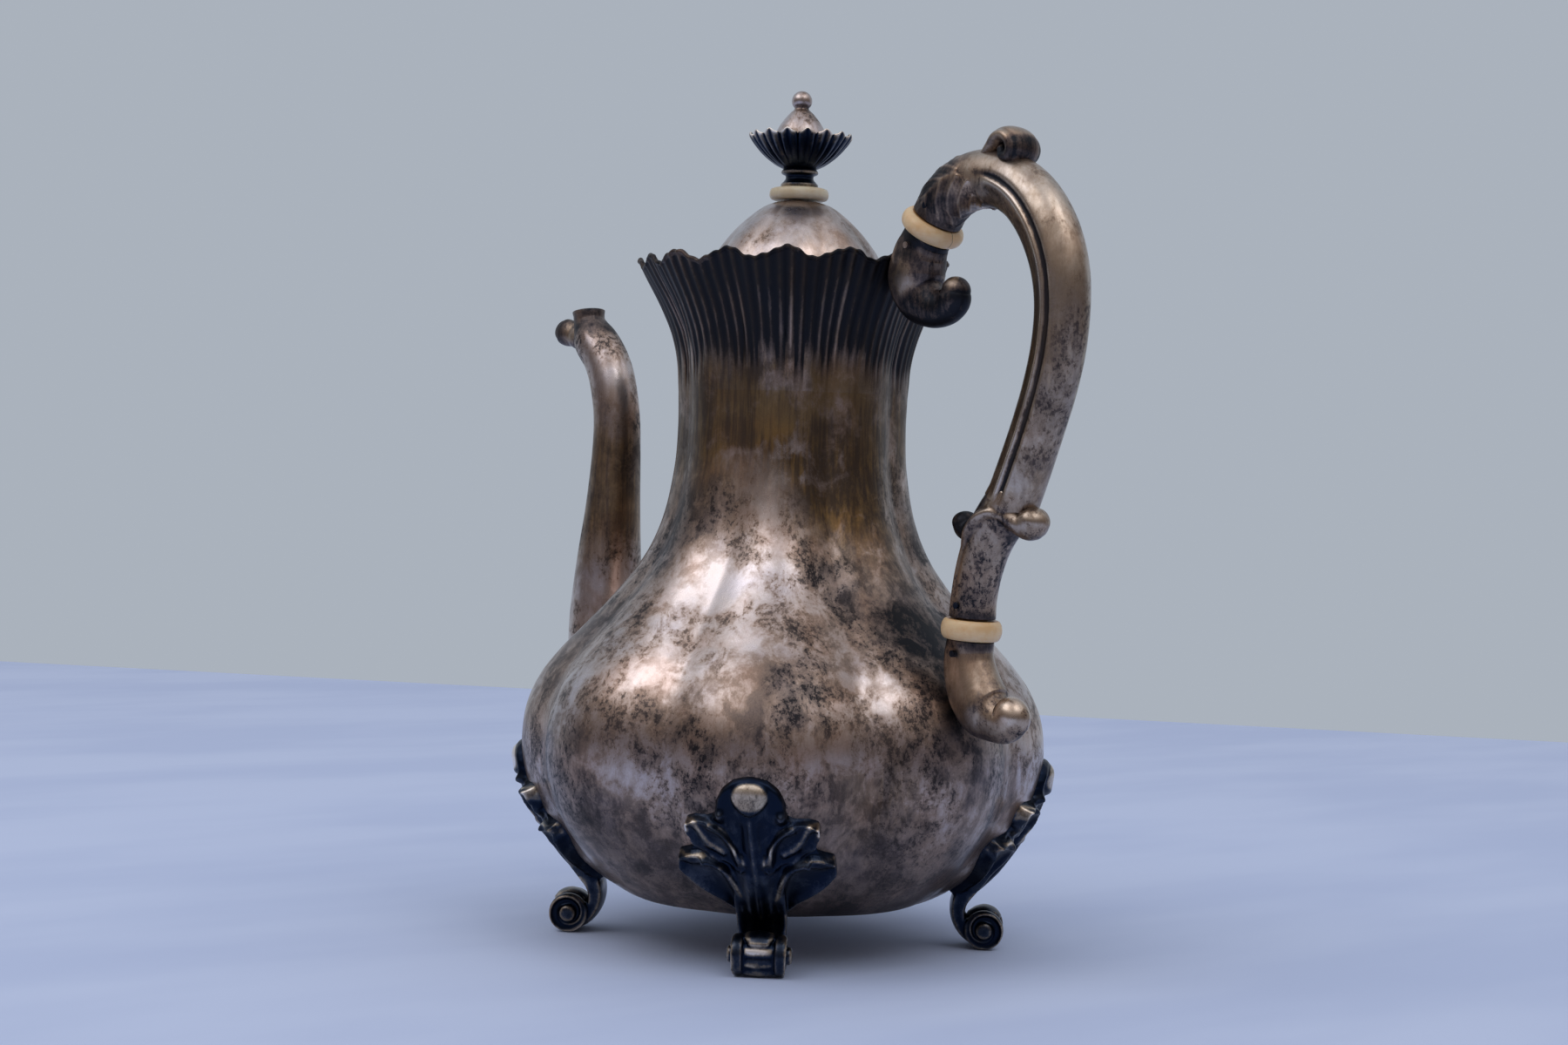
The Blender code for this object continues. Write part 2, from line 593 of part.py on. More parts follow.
def make_handle(belly, collar):
    upper = insulator("upper_ivory_ring", UPPER_RING, UPPER_RING_TILT, UPPER_RING_RADIUS, UPPER_RING_THICK)
    lower = insulator("lower_ivory_ring", LOWER_RING, LOWER_RING_TILT, LOWER_RING_RADIUS, LOWER_RING_THICK)

    grip = add("handle_grip", rod(GRIP_LINE, GRIP_STEPS, 1, 1.06, 0.94), silver("grip silver"))
    grip_solid = helper("cut_grip", rod(GRIP_LINE, GRIP_STEPS, 1, 1.06, 0.94, extra=GAP))
    make_thumb_scroll(grip_solid)

    tail = add("handle_tail", rod(TAIL_LINE, GRIP_STEPS, 1, 1.0, 0.98), silver("tail silver"))
    for name, line in (("join_outer_curl", OUTER_CURL), ("join_inner_curl", INNER_CURL)):
        combine(tail, "UNION", helper(name, rod(line, 10, 1, 1.0, 1.15, round_end=True)))
    combine(tail, "DIFFERENCE", grip_solid)

    upper_solid = rod(UPPER_SOCKET_LINE, SOCKET_STEPS, 1, 1.0, 0.86, round_end=True)
    upper_socket = add("upper_socket", upper_solid, silver("upper socket silver"))
    combine(upper_socket, "DIFFERENCE", collar)
    lower_solid = rod(LOWER_SOCKET_LINE, SOCKET_STEPS, 1, 1.0, 0.86, round_end=True)
    lower_socket = add("lower_socket", lower_solid, silver("lower socket silver"))
    combine(lower_socket, "DIFFERENCE", belly)

    joints = (
        ("upper_socket_pin", upper_socket, upper, UPPER_RING, UPPER_RING_TILT, UPPER_RING_THICK, -1),
        ("upper_grip_pin", grip, upper, UPPER_RING, UPPER_RING_TILT, UPPER_RING_THICK, 1),
        ("lower_grip_pin", tail, lower, LOWER_RING, LOWER_RING_TILT, LOWER_RING_THICK, 1),
        ("lower_socket_pin", lower_socket, lower, LOWER_RING, LOWER_RING_TILT, LOWER_RING_THICK, -1),
    )
    for name, metal, ring_piece, ring, tilt, thick, side in joints:
        combine(metal, "DIFFERENCE", spigot_bore(f"cut_bore_{name}", ring, tilt, thick, side))
        pinned(name, ring, tilt, thick, side, 14.6 * MM, (metal, ring_piece))


def foot_mesh():
    """One foot, standing out along +X: the strap of the leg and the palmette, as one skin."""
    maker = bmesh.new()
    rings = []
    columns = [i / PALMETTE_COLUMNS * 2 - 1 for i in range(PALMETTE_COLUMNS + 1)]
    legs = [tuple(v * MM for v in row) for row in LEG_LINE]
    for i, (radius, height, half, thick) in enumerate(legs):
        before, after = legs[max(i - 1, 0)], legs[min(i + 1, len(legs) - 1)]
        along = Vector((after[0] - before[0], 0, after[1] - before[1])).normalized()
        out = Vector((along.z, 0, -along.x))
        centre = Vector((radius, 0, height))
        across = [(Vector((0, c * half, 0)), out * thick * (1 - 0.25 * c * c)) for c in columns]
        front = [centre + side + depth for side, depth in across]
        back = [centre + side - depth for side, depth in reversed(across)]
        rings.append([maker.verts.new(point) for point in front + back])
    for height, half, thick in [tuple(v * MM for v in row) for row in PALMETTE_LINE]:
        front, back = [], []
        crown = body_radius(height)
        ahead, behind = body_radius(height + MM), body_radius(height - MM)
        lean = Vector((2 * MM, 0, behind - ahead)).normalized()
        for c in columns:
            angle = c * half / crown
            radius, _ = body_warp(angle, crown, height)
            turn = Matrix.Rotation(angle, 3, "Z")
            root = turn @ (Vector((radius, 0, height)) + lean * GAP * 1.4)
            back.append(root)
            front.append(root + turn @ lean * thick * (1 - 0.45 * c * c))
        rings.append([maker.verts.new(point) for point in front + back[::-1]])
    bridge(maker, rings)
    maker.faces.new(rings[0])
    maker.faces.new(rings[-1])
    return maker


def volute_mesh():
    """The roll under the leg: a barrel between two rimmed discs, flat where it stands."""
    half, inner = VOLUTE_HALF_WIDTH, VOLUTE_HALF_WIDTH - VOLUTE_RIM
    outline = [
        (0.0, -half), (VOLUTE_RADIUS * 0.8, -half), (VOLUTE_RADIUS, -half + MM), (VOLUTE_RADIUS, -inner - MM),
        (VOLUTE_BARREL, -inner), (VOLUTE_BARREL + 0.5 * MM, 0.0), (VOLUTE_BARREL, inner),
        (VOLUTE_RADIUS, inner + MM), (VOLUTE_RADIUS, half - MM), (VOLUTE_RADIUS * 0.8, half), (0.0, half),
    ]
    maker = turned(outline, 16, closed=False)
    place = Matrix.Translation((VOLUTE_CENTRE[0] * MM, 0, VOLUTE_CENTRE[1] * MM)) @ Matrix.Rotation(
        math.radians(90), 4, "X"
    )
    bmesh.ops.transform(maker, matrix=place, verts=maker.verts)
    return maker


def make_feet(belly):
    for name, degrees in FOOT_ANGLES.items():
        turn = Matrix.Rotation(math.radians(degrees), 4, "Z")
        foot = add(name, foot_mesh(), dark_silver(name.replace("_", " ")))
        volute = helper(f"join_{name}", volute_mesh())
        table = helper(
            f"cut_{name}", block((40 * MM, -20 * MM, -10 * MM), (90 * MM, 20 * MM, 0.0))
        )
        for piece in (foot, volute, table):
            piece.data.transform(turn)
        combine(foot, "UNION", volute)
        combine(foot, "DIFFERENCE", table)


def main():
    clear_scene()
    make_body()
    make_collar()
    make_lid()
    make_finial()
    belly = belly_block()
    collar = collar_block()
    make_spout(belly)
    make_handle(belly, collar)
    make_feet(belly)


main()
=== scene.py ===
"""Looks of the silver coffee pot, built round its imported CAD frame.

Every length is in metres, in the frame's own axes: the spout points along -X, the handle along +X
and the lid lifts along +Z. Profiles are written in millimetres and scaled by MM.
"""

import sys

import logging
import math
from dataclasses import dataclass, field
from enum import Enum
from typing import Callable, Optional

import bpy
import numpy as np
from mathutils import Matrix, Vector

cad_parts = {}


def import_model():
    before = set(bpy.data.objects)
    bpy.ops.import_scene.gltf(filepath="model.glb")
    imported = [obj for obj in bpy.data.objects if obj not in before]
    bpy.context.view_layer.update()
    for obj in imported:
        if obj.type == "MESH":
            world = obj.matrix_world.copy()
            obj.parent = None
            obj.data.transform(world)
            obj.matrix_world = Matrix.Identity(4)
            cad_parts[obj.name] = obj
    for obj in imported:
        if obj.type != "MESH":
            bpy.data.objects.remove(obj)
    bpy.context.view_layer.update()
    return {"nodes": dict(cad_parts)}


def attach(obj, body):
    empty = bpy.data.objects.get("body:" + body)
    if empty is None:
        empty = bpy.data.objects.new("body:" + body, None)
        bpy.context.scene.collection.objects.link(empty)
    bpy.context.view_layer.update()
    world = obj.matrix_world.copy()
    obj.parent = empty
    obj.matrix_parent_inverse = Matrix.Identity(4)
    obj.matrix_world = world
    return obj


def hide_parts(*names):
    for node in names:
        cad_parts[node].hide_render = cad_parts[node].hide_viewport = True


MM = 0.001
TURN = 2 * math.pi
Points = list[tuple[float, ...]]
Layers = dict[str, np.ndarray]
Colour = tuple[float, float, float]

log = logging.getLogger("coffee_pot")


class Slot(Enum):
    """Material slots of the record."""

    SILVER = "tarnished_silver"
    OXIDE = "oxidised_silver"
    IVORY = "ivory"


class Body(Enum):
    """CAD bodies that a piece can ride on."""

    POT = "pot"
    LID = "lid"


# ----------------------------------------------------------------------------------------------
# Small sums
# ----------------------------------------------------------------------------------------------


def smooth_step(value: np.ndarray, low: float, high: float) -> np.ndarray:
    """Soft step from 0 at low to 1 at high.

    Args:
        value: Numbers to shape.
        low: Where the step starts.
        high: Where the step ends; it may be below low.

    Returns:
        The shaped numbers, between 0 and 1.
    """
    share = np.clip((np.asarray(value, float) - low) / (high - low), 0.0, 1.0)
    return share * share * (3 - 2 * share)


def bell(value: np.ndarray, centre: float, width: float) -> np.ndarray:
    """Gaussian hump of height 1 about a centre.

    Args:
        value: Numbers to shape.
        centre: Middle of the hump.
        width: Its standard deviation.

    Returns:
        The hump's height at each number.
    """
    return np.exp(-0.5 * ((np.asarray(value, float) - centre) / width) ** 2)


def nearest_turn(angle: np.ndarray) -> np.ndarray:
    """The same angle between minus half a turn and half a turn."""
    return np.angle(np.exp(1j * angle))


def about_axis(radius: np.ndarray, angle: np.ndarray, height: np.ndarray) -> np.ndarray:
    """Points in metres from radius, angle and height about the pot's axis, in millimetres."""
    return np.stack([radius * np.cos(angle), radius * np.sin(angle), height], axis=-1) * MM


def curve_through(points: Points, count: int) -> np.ndarray:
    """Catmull-Rom curve through points, resampled to even steps along its length.

    Args:
        points: Points of any dimension; only the first two set the spacing.
        count: How many points to return.

    Returns:
        An array of count rows.
    """
    knots = np.array(points, float)
    padded = np.vstack([2 * knots[0] - knots[1], knots, 2 * knots[-1] - knots[-2]])
    spans = []
    for i in range(len(knots) - 1):
        a, b, c, d = padded[i:i + 4]
        t = np.linspace(0, 1, 24, endpoint=False)[:, None]
        spans.append(b + 0.5 * t * (c - a + t * (2 * a - 5 * b + 4 * c - d + t * (3 * b - a - 3 * c + d))))
    fine = np.vstack(spans + [knots[-1:]])
    reach = np.concatenate([[0], np.cumsum(np.linalg.norm(np.diff(fine[:, :2], axis=0), axis=1))])
    even = np.linspace(0, reach[-1], count)
    return np.stack([np.interp(even, reach, column) for column in fine.T], axis=1)


def inner_wall(outline: np.ndarray, wall: float) -> np.ndarray:
    """Profile of the inside of a wall, square to the outside at each point.

    Args:
        outline: Rows of (radius, height) up the outside.
        wall: Thickness of the metal.

    Returns:
        The inside's rows, in the same order.
    """
    along = np.gradient(outline, axis=0)
    along /= np.linalg.norm(along, axis=1)[:, None]
    return outline + np.stack([-along[:, 1], along[:, 0]], axis=1) * wall


def lobe(angle: np.ndarray, depth: np.ndarray) -> np.ndarray:
    """Share of the crown radius at an angle: eight rounded lobes that meet in soft creases.

    Args:
        angle: Angle about the pot's axis.
        depth: Depth of a crease as a share of the crown radius.

    Returns:
        The share, which is 1 on a crown.
    """
    crease = 0.15
    across = np.cos(4 * np.asarray(angle))
    rounded = np.sqrt(across * across + crease ** 2) / math.sqrt(1 + crease ** 2)
    return 1 - depth * (1 - rounded)


# ----------------------------------------------------------------------------------------------
# Bench work: how a mesh is raised, joined and finished
# ----------------------------------------------------------------------------------------------


def clear_selection() -> None:
    """Leaves nothing selected, so that an operator acts on the new piece alone."""
    bpy.ops.object.select_all(action="DESELECT")


def hold(obj: bpy.types.Object) -> None:
    """Selects one object and makes it the active one.

    Args:
        obj: The object to work on.
    """
    clear_selection()
    obj.select_set(True)
    bpy.context.view_layer.objects.active = obj


def seal(obj: bpy.types.Object, gap: float = 2e-6) -> None:
    """Merges the seams of a rolled or spun skin, fills what is open and turns every face outwards.

    Args:
        obj: The piece.
        gap: Distance under which two points are one.
    """
    hold(obj)
    bpy.ops.object.mode_set(mode="EDIT")
    bpy.ops.mesh.select_all(action="SELECT")
    bpy.ops.mesh.remove_doubles(threshold=gap)
    bpy.ops.mesh.dissolve_degenerate(threshold=1e-7)
    bpy.ops.mesh.select_all(action="DESELECT")
    bpy.ops.mesh.select_mode(type="EDGE")
    bpy.ops.mesh.select_non_manifold(
        use_wire=False, use_multi_face=False, use_non_contiguous=False, use_verts=False,
    )
    bpy.ops.mesh.edge_face_add()
    bpy.ops.mesh.select_mode(type="VERT")
    bpy.ops.mesh.select_all(action="SELECT")
    bpy.ops.mesh.normals_make_consistent(inside=False)
    bpy.ops.object.mode_set(mode="OBJECT")


def smooth_shade(obj: bpy.types.Object, degrees: float = 40.0) -> None:
    """Shades a piece smooth, with an edge kept where its faces turn by more than an angle.

    Args:
        obj: The piece.
        degrees: The angle.
    """
    hold(obj)
    bpy.ops.object.shade_smooth_by_angle(angle=math.radians(degrees))


def apply_modifier(obj: bpy.types.Object, kind: str, **settings: object) -> None:
    """Adds a modifier with its settings and applies it.

    Args:
        obj: The piece.
        kind: The modifier's type.
        settings: Its properties.
    """
    hold(obj)
    made = obj.modifiers.new(kind.lower(), kind)
    for key, value in settings.items():
        setattr(made, key, value)
    bpy.ops.object.modifier_apply(modifier=made.name)


def rolled_skin(name: str, points: np.ndarray, layers: Optional[Layers] = None) -> bpy.types.Object:
    """A flat grid whose rows are rolled round into a closed skin.

    The grid gets one column more than the points have, which lies on the first, and its seam is merged.

    Args:
        name: Name of the piece.
        points: Array of (rows, columns, 3).
        layers: Painted numbers for each point, by name, each (rows, columns).

    Returns:
        The sealed piece, at the origin.
    """
    rows, columns = points.shape[:2]
    clear_selection()
    bpy.ops.mesh.primitive_grid_add(x_subdivisions=columns, y_subdivisions=rows - 1, size=1)
    made = bpy.context.active_object
    made.name = name
    made.data.name = name
    wrapped = np.concatenate([points, points[:, :1]], axis=1)
    made.data.vertices.foreach_set("co", wrapped.reshape(-1).astype(np.float32))
    for key, values in (layers or {}).items():
        layer = made.data.attributes.new(key, "FLOAT", "POINT")
        full = np.concatenate([values, values[:, :1]], axis=1)
        layer.data.foreach_set("value", full.reshape(-1).astype(np.float32))
    made.data.update()
    seal(made)
    return made


def spun(name: str, outline: Points, steps: int = 96) -> bpy.types.Object:
    """A profile drawn by extruding one point from place to place, spun round the Z axis.

    Args:
        name: Name of the piece.
        outline: (radius, height) in millimetres, from pole to pole or closed on itself.
        steps: Facets in a turn.

    Returns:
        The sealed piece.
    """
    clear_selection()
    places = [Vector((radius * MM, 0, height * MM)) for radius, height in outline]
    bpy.ops.mesh.primitive_plane_add(size=MM, location=places[0])
    made = bpy.context.active_object
    made.name = name
    made.data.name = name
    bpy.ops.object.transform_apply(location=True, rotation=False, scale=False)
    bpy.ops.object.mode_set(mode="EDIT")
    bpy.ops.mesh.select_all(action="SELECT")
    bpy.ops.mesh.merge(type="CENTER")
    for before, after in zip(places, places[1:]):
        bpy.ops.mesh.extrude_region_move(TRANSFORM_OT_translate={"value": after - before})
    bpy.ops.mesh.select_all(action="SELECT")
    bpy.ops.mesh.spin(steps=steps, angle=TURN, center=(0, 0, 0), axis=(0, 0, 1))
    bpy.ops.object.mode_set(mode="OBJECT")
    seal(made)
    return made


def place(obj: bpy.types.Object, matrix: Matrix) -> None:
    """Moves a finished mesh to its place and leaves its object at the origin.

    Args:
        obj: The piece.
        matrix: Where it goes.
    """
    obj.data.transform(matrix)
    obj.data.update()


def joined(name: str, parts: list[bpy.types.Object]) -> bpy.types.Object:
    """Joins several parts into one piece.

    Args:
        name: Name of the piece.
        parts: Its parts; the first one keeps its object.

    Returns:
        The piece.
    """
    clear_selection()
    for part in parts:
        part.select_set(True)
    bpy.context.view_layer.objects.active = parts[0]
    bpy.ops.object.join()
    made = bpy.context.active_object
    made.name = name
    made.data.name = name
    return made


def cast(name: str, parts: list[bpy.types.Object], grain: float, easing: int = 3) -> bpy.types.Object:
    """Fuses overlapping parts into one casting with soft inner corners.

    Args:
        name: Name of the piece.
        parts: Closed shapes that overlap.
        grain: Size of the remesh.
        easing: How often the skin is relaxed afterwards.

    Returns:
        The casting.
    """
    made = joined(name, parts)
    apply_modifier(made, "REMESH", mode="VOXEL", voxel_size=grain, use_smooth_shade=True)
    apply_modifier(made, "SMOOTH", factor=0.5, iterations=easing)
    return made


def mesh_points(obj: bpy.types.Object) -> np.ndarray:
    """Vertex places of a mesh as an array of (count, 3)."""
    found = np.empty(len(obj.data.vertices) * 3, np.float32)
    obj.data.vertices.foreach_get("co", found)
    return found.reshape(-1, 3).astype(float)


def set_points(obj: bpy.types.Object, points: np.ndarray) -> None:
    """Writes vertex places back to a mesh."""
    obj.data.vertices.foreach_set("co", points.reshape(-1).astype(np.float32))
    obj.data.update()


def paint(obj: bpy.types.Object, name: str, values: np.ndarray) -> None:
    """Stores one number for each vertex, for the finish to read.

    Args:
        obj: The piece.
        name: Name of the layer.
        values: One number for each vertex.
    """
    layer = obj.data.attributes.get(name) or obj.data.attributes.new(name, "FLOAT", "POINT")
    layer.data.foreach_set("value", np.asarray(values, np.float32))


def neighbour_mean(values: np.ndarray, edges: np.ndarray, rounds: int) -> np.ndarray:
    """Averages values with their neighbours along the edges, over and over.

    Args:
        values: Array of (count, n).
        edges: Pairs of vertex numbers.
        rounds: How often to average.

    Returns:
        The eased values.
    """
    count = len(values)
    weight = np.bincount(edges.reshape(-1), minlength=count)[:, None] + 1.0
    for _ in range(rounds):
        total = values.copy()
        for column in range(values.shape[1]):
            total[:, column] += np.bincount(edges[:, 0], values[edges[:, 1], column], count)
            total[:, column] += np.bincount(edges[:, 1], values[edges[:, 0], column], count)
        values = total / weight
    return values


def painted(obj: bpy.types.Object, name: str) -> np.ndarray:
    """Numbers of a painted layer, one for each vertex.

    Args:
        obj: The piece.
        name: Name of the layer.

    Returns:
        Its numbers.
    """
    found = np.empty(len(obj.data.vertices), np.float32)
    obj.data.attributes[name].data.foreach_get("value", found)
    return found.astype(float)


def paint_relief(obj: bpy.types.Object, rounds: int, full: float, share: object = 1.0) -> None:
    """Paints how far each point stands proud of (+) or lies below (-) the metal round it.

    Args:
        obj: The piece.
        rounds: How far round a point to look, in edge steps.
        full: Height in metres that counts as 1.
        share: How much of it counts, for the whole piece or for each vertex.
    """
    points = mesh_points(obj)
    edges = np.empty(len(obj.data.edges) * 2, np.int32)
    obj.data.edges.foreach_get("vertices", edges)
    edges = edges.reshape(-1, 2)
    normals = np.empty(len(points) * 3, np.float32)
    obj.data.vertices.foreach_get("normal", normals)
    proud = ((points - neighbour_mean(points, edges, rounds)) * normals.reshape(-1, 3)).sum(1)
    proud = neighbour_mean(proud[:, None], edges, 1)[:, 0]
    paint(obj, "relief", np.clip(proud / full, -1, 1) * share)


# ----------------------------------------------------------------------------------------------
# Finishes
# ----------------------------------------------------------------------------------------------


class Nodes:
    """Short hand for wiring a material's nodes."""

    def __init__(self, name: str) -> None:
        """Starts an empty material with an output and a Principled shader."""
        self.material = bpy.data.materials.new(name)
        self.material.use_nodes = True
        self.tree = self.material.node_tree
        self.tree.nodes.clear()
        self.output = self.tree.nodes.new("ShaderNodeOutputMaterial")
        self.shader = self.tree.nodes.new("ShaderNodeBsdfPrincipled")
        self.tree.links.new(self.shader.outputs[0], self.output.inputs["Surface"])
        self.place = self.tree.nodes.new("ShaderNodeTexCoord").outputs["Object"]

    def feed(self, socket: bpy.types.NodeSocket, value: object) -> None:
        """Links an output to a socket, or sets the socket's own number."""
        if isinstance(value, bpy.types.NodeSocket):
            self.tree.links.new(value, socket)
        else:
            socket.default_value = value

    def sum(self, kind: str, *values: object, clamp: bool = False) -> bpy.types.NodeSocket:
        """One Math node.

        Args:
            kind: Its operation.
            values: Its inputs, as numbers or outputs.
            clamp: Whether the result is kept between 0 and 1.

        Returns:
            Its output.
        """
        node = self.tree.nodes.new("ShaderNodeMath")
        node.operation = kind
        node.use_clamp = clamp
        for i, value in enumerate(values):
            self.feed(node.inputs[i], value)
        return node.outputs[0]

    def swing(self, value: object, share: float) -> bpy.types.NodeSocket:
        """How far a pattern is from its middle, 0.5, times a share."""
        return self.sum("MULTIPLY", self.sum("SUBTRACT", value, 0.5), share)

    def spread(self, value: object, low: float, high: float, to_low: float = 0.0, to_high: float = 1.0,
               soft: bool = True) -> bpy.types.NodeSocket:
        """One Map Range node, clamped.

        Args:
            value: What to map.
            low: Where it starts.
            high: Where it ends.
            to_low: Result at low.
            to_high: Result at high.
            soft: Whether the ends are eased.

        Returns:
            Its output.
        """
        node = self.tree.nodes.new("ShaderNodeMapRange")
        node.interpolation_type = "SMOOTHSTEP" if soft else "LINEAR"
        given = {"Value": value, "From Min": low, "From Max": high, "To Min": to_low, "To Max": to_high}
        for key, number in given.items():
            self.feed(node.inputs[key], number)
        return node.outputs["Result"]

    def stretched(self, scale: tuple[float, float, float], shift: tuple[float, float, float] = (0, 0, 0),
                  turn: tuple[float, float, float] = (0, 0, 0)) -> bpy.types.NodeSocket:
        """Object coordinates through a Mapping node, counted in millimetres times scale."""
        node = self.tree.nodes.new("ShaderNodeMapping")
        self.tree.links.new(self.place, node.inputs["Vector"])
        node.inputs["Scale"].default_value = tuple(s / MM for s in scale)
        node.inputs["Location"].default_value = shift
        node.inputs["Rotation"].default_value = turn
        return node.outputs["Vector"]

    def noise(self, vector: bpy.types.NodeSocket, detail: float = 4.0, rough: float = 0.5,
              bend: float = 0.0, scale: float = 1.0) -> bpy.types.NodeSocket:
        """One Noise node.

        Args:
            vector: Coordinates.
            detail: Octaves.
            rough: Share of the finer octaves.
            bend: Distortion.
            scale: Its own scale.

        Returns:
            Its value output.
        """
        node = self.tree.nodes.new("ShaderNodeTexNoise")
        self.tree.links.new(vector, node.inputs["Vector"])
        node.inputs["Scale"].default_value = scale
        node.inputs["Detail"].default_value = detail
        node.inputs["Roughness"].default_value = rough
        node.inputs["Distortion"].default_value = bend
        return node.outputs["Fac"]

    def layer(self, name: str) -> bpy.types.NodeSocket:
        """A painted layer of the piece; a piece without it gives 0."""
        node = self.tree.nodes.new("ShaderNodeAttribute")
        node.attribute_name = name
        return node.outputs["Fac"]

    def ramp(self, value: object, stops: list[tuple[float, Colour]]) -> bpy.types.NodeSocket:
        """One Color Ramp node.

        Args:
            value: What drives it.
            stops: (place, colour) pairs in order.

        Returns:
            Its colour output.
        """
        node = self.tree.nodes.new("ShaderNodeValToRGB")
        self.feed(node.inputs["Fac"], value)
        ramp = node.color_ramp
        while len(ramp.elements) < len(stops):
            ramp.elements.new(0.5)
        for element, (where, colour) in zip(ramp.elements, stops):
            element.position = where
            element.color = (*colour, 1.0)
        return node.outputs["Color"]

    def mix(self, share: object, first: object, second: object, how: str = "MIX") -> bpy.types.NodeSocket:
        """One Mix node on colours.

        Args:
            share: How much of the second.
            first: Colour or output.
            second: Colour or output.
            how: Blend type.

        Returns:
            Its colour output.
        """
        node = self.tree.nodes.new("ShaderNodeMix")
        node.data_type = "RGBA"
        node.blend_type = how
        self.feed(node.inputs[0], share)
        for socket, value in ((node.inputs[6], first), (node.inputs[7], second)):
            self.feed(socket, (*value, 1.0) if isinstance(value, tuple) else value)
        return node.outputs[2]

    def bump(self, height: object, distance: float, strength: float,
             under: Optional[bpy.types.NodeSocket] = None) -> bpy.types.NodeSocket:
        """One Bump node.

        Args:
            height: Height between 0 and 1.
            distance: Height of 1, in metres.
            strength: How much of it shows.
            under: The bump below this one.

        Returns:
            Its normal output.
        """
        node = self.tree.nodes.new("ShaderNodeBump")
        node.inputs["Distance"].default_value = distance
        node.inputs["Strength"].default_value = strength
        self.feed(node.inputs["Height"], height)
        if under is not None:
            self.tree.links.new(under, node.inputs["Normal"])
        return node.outputs["Normal"]


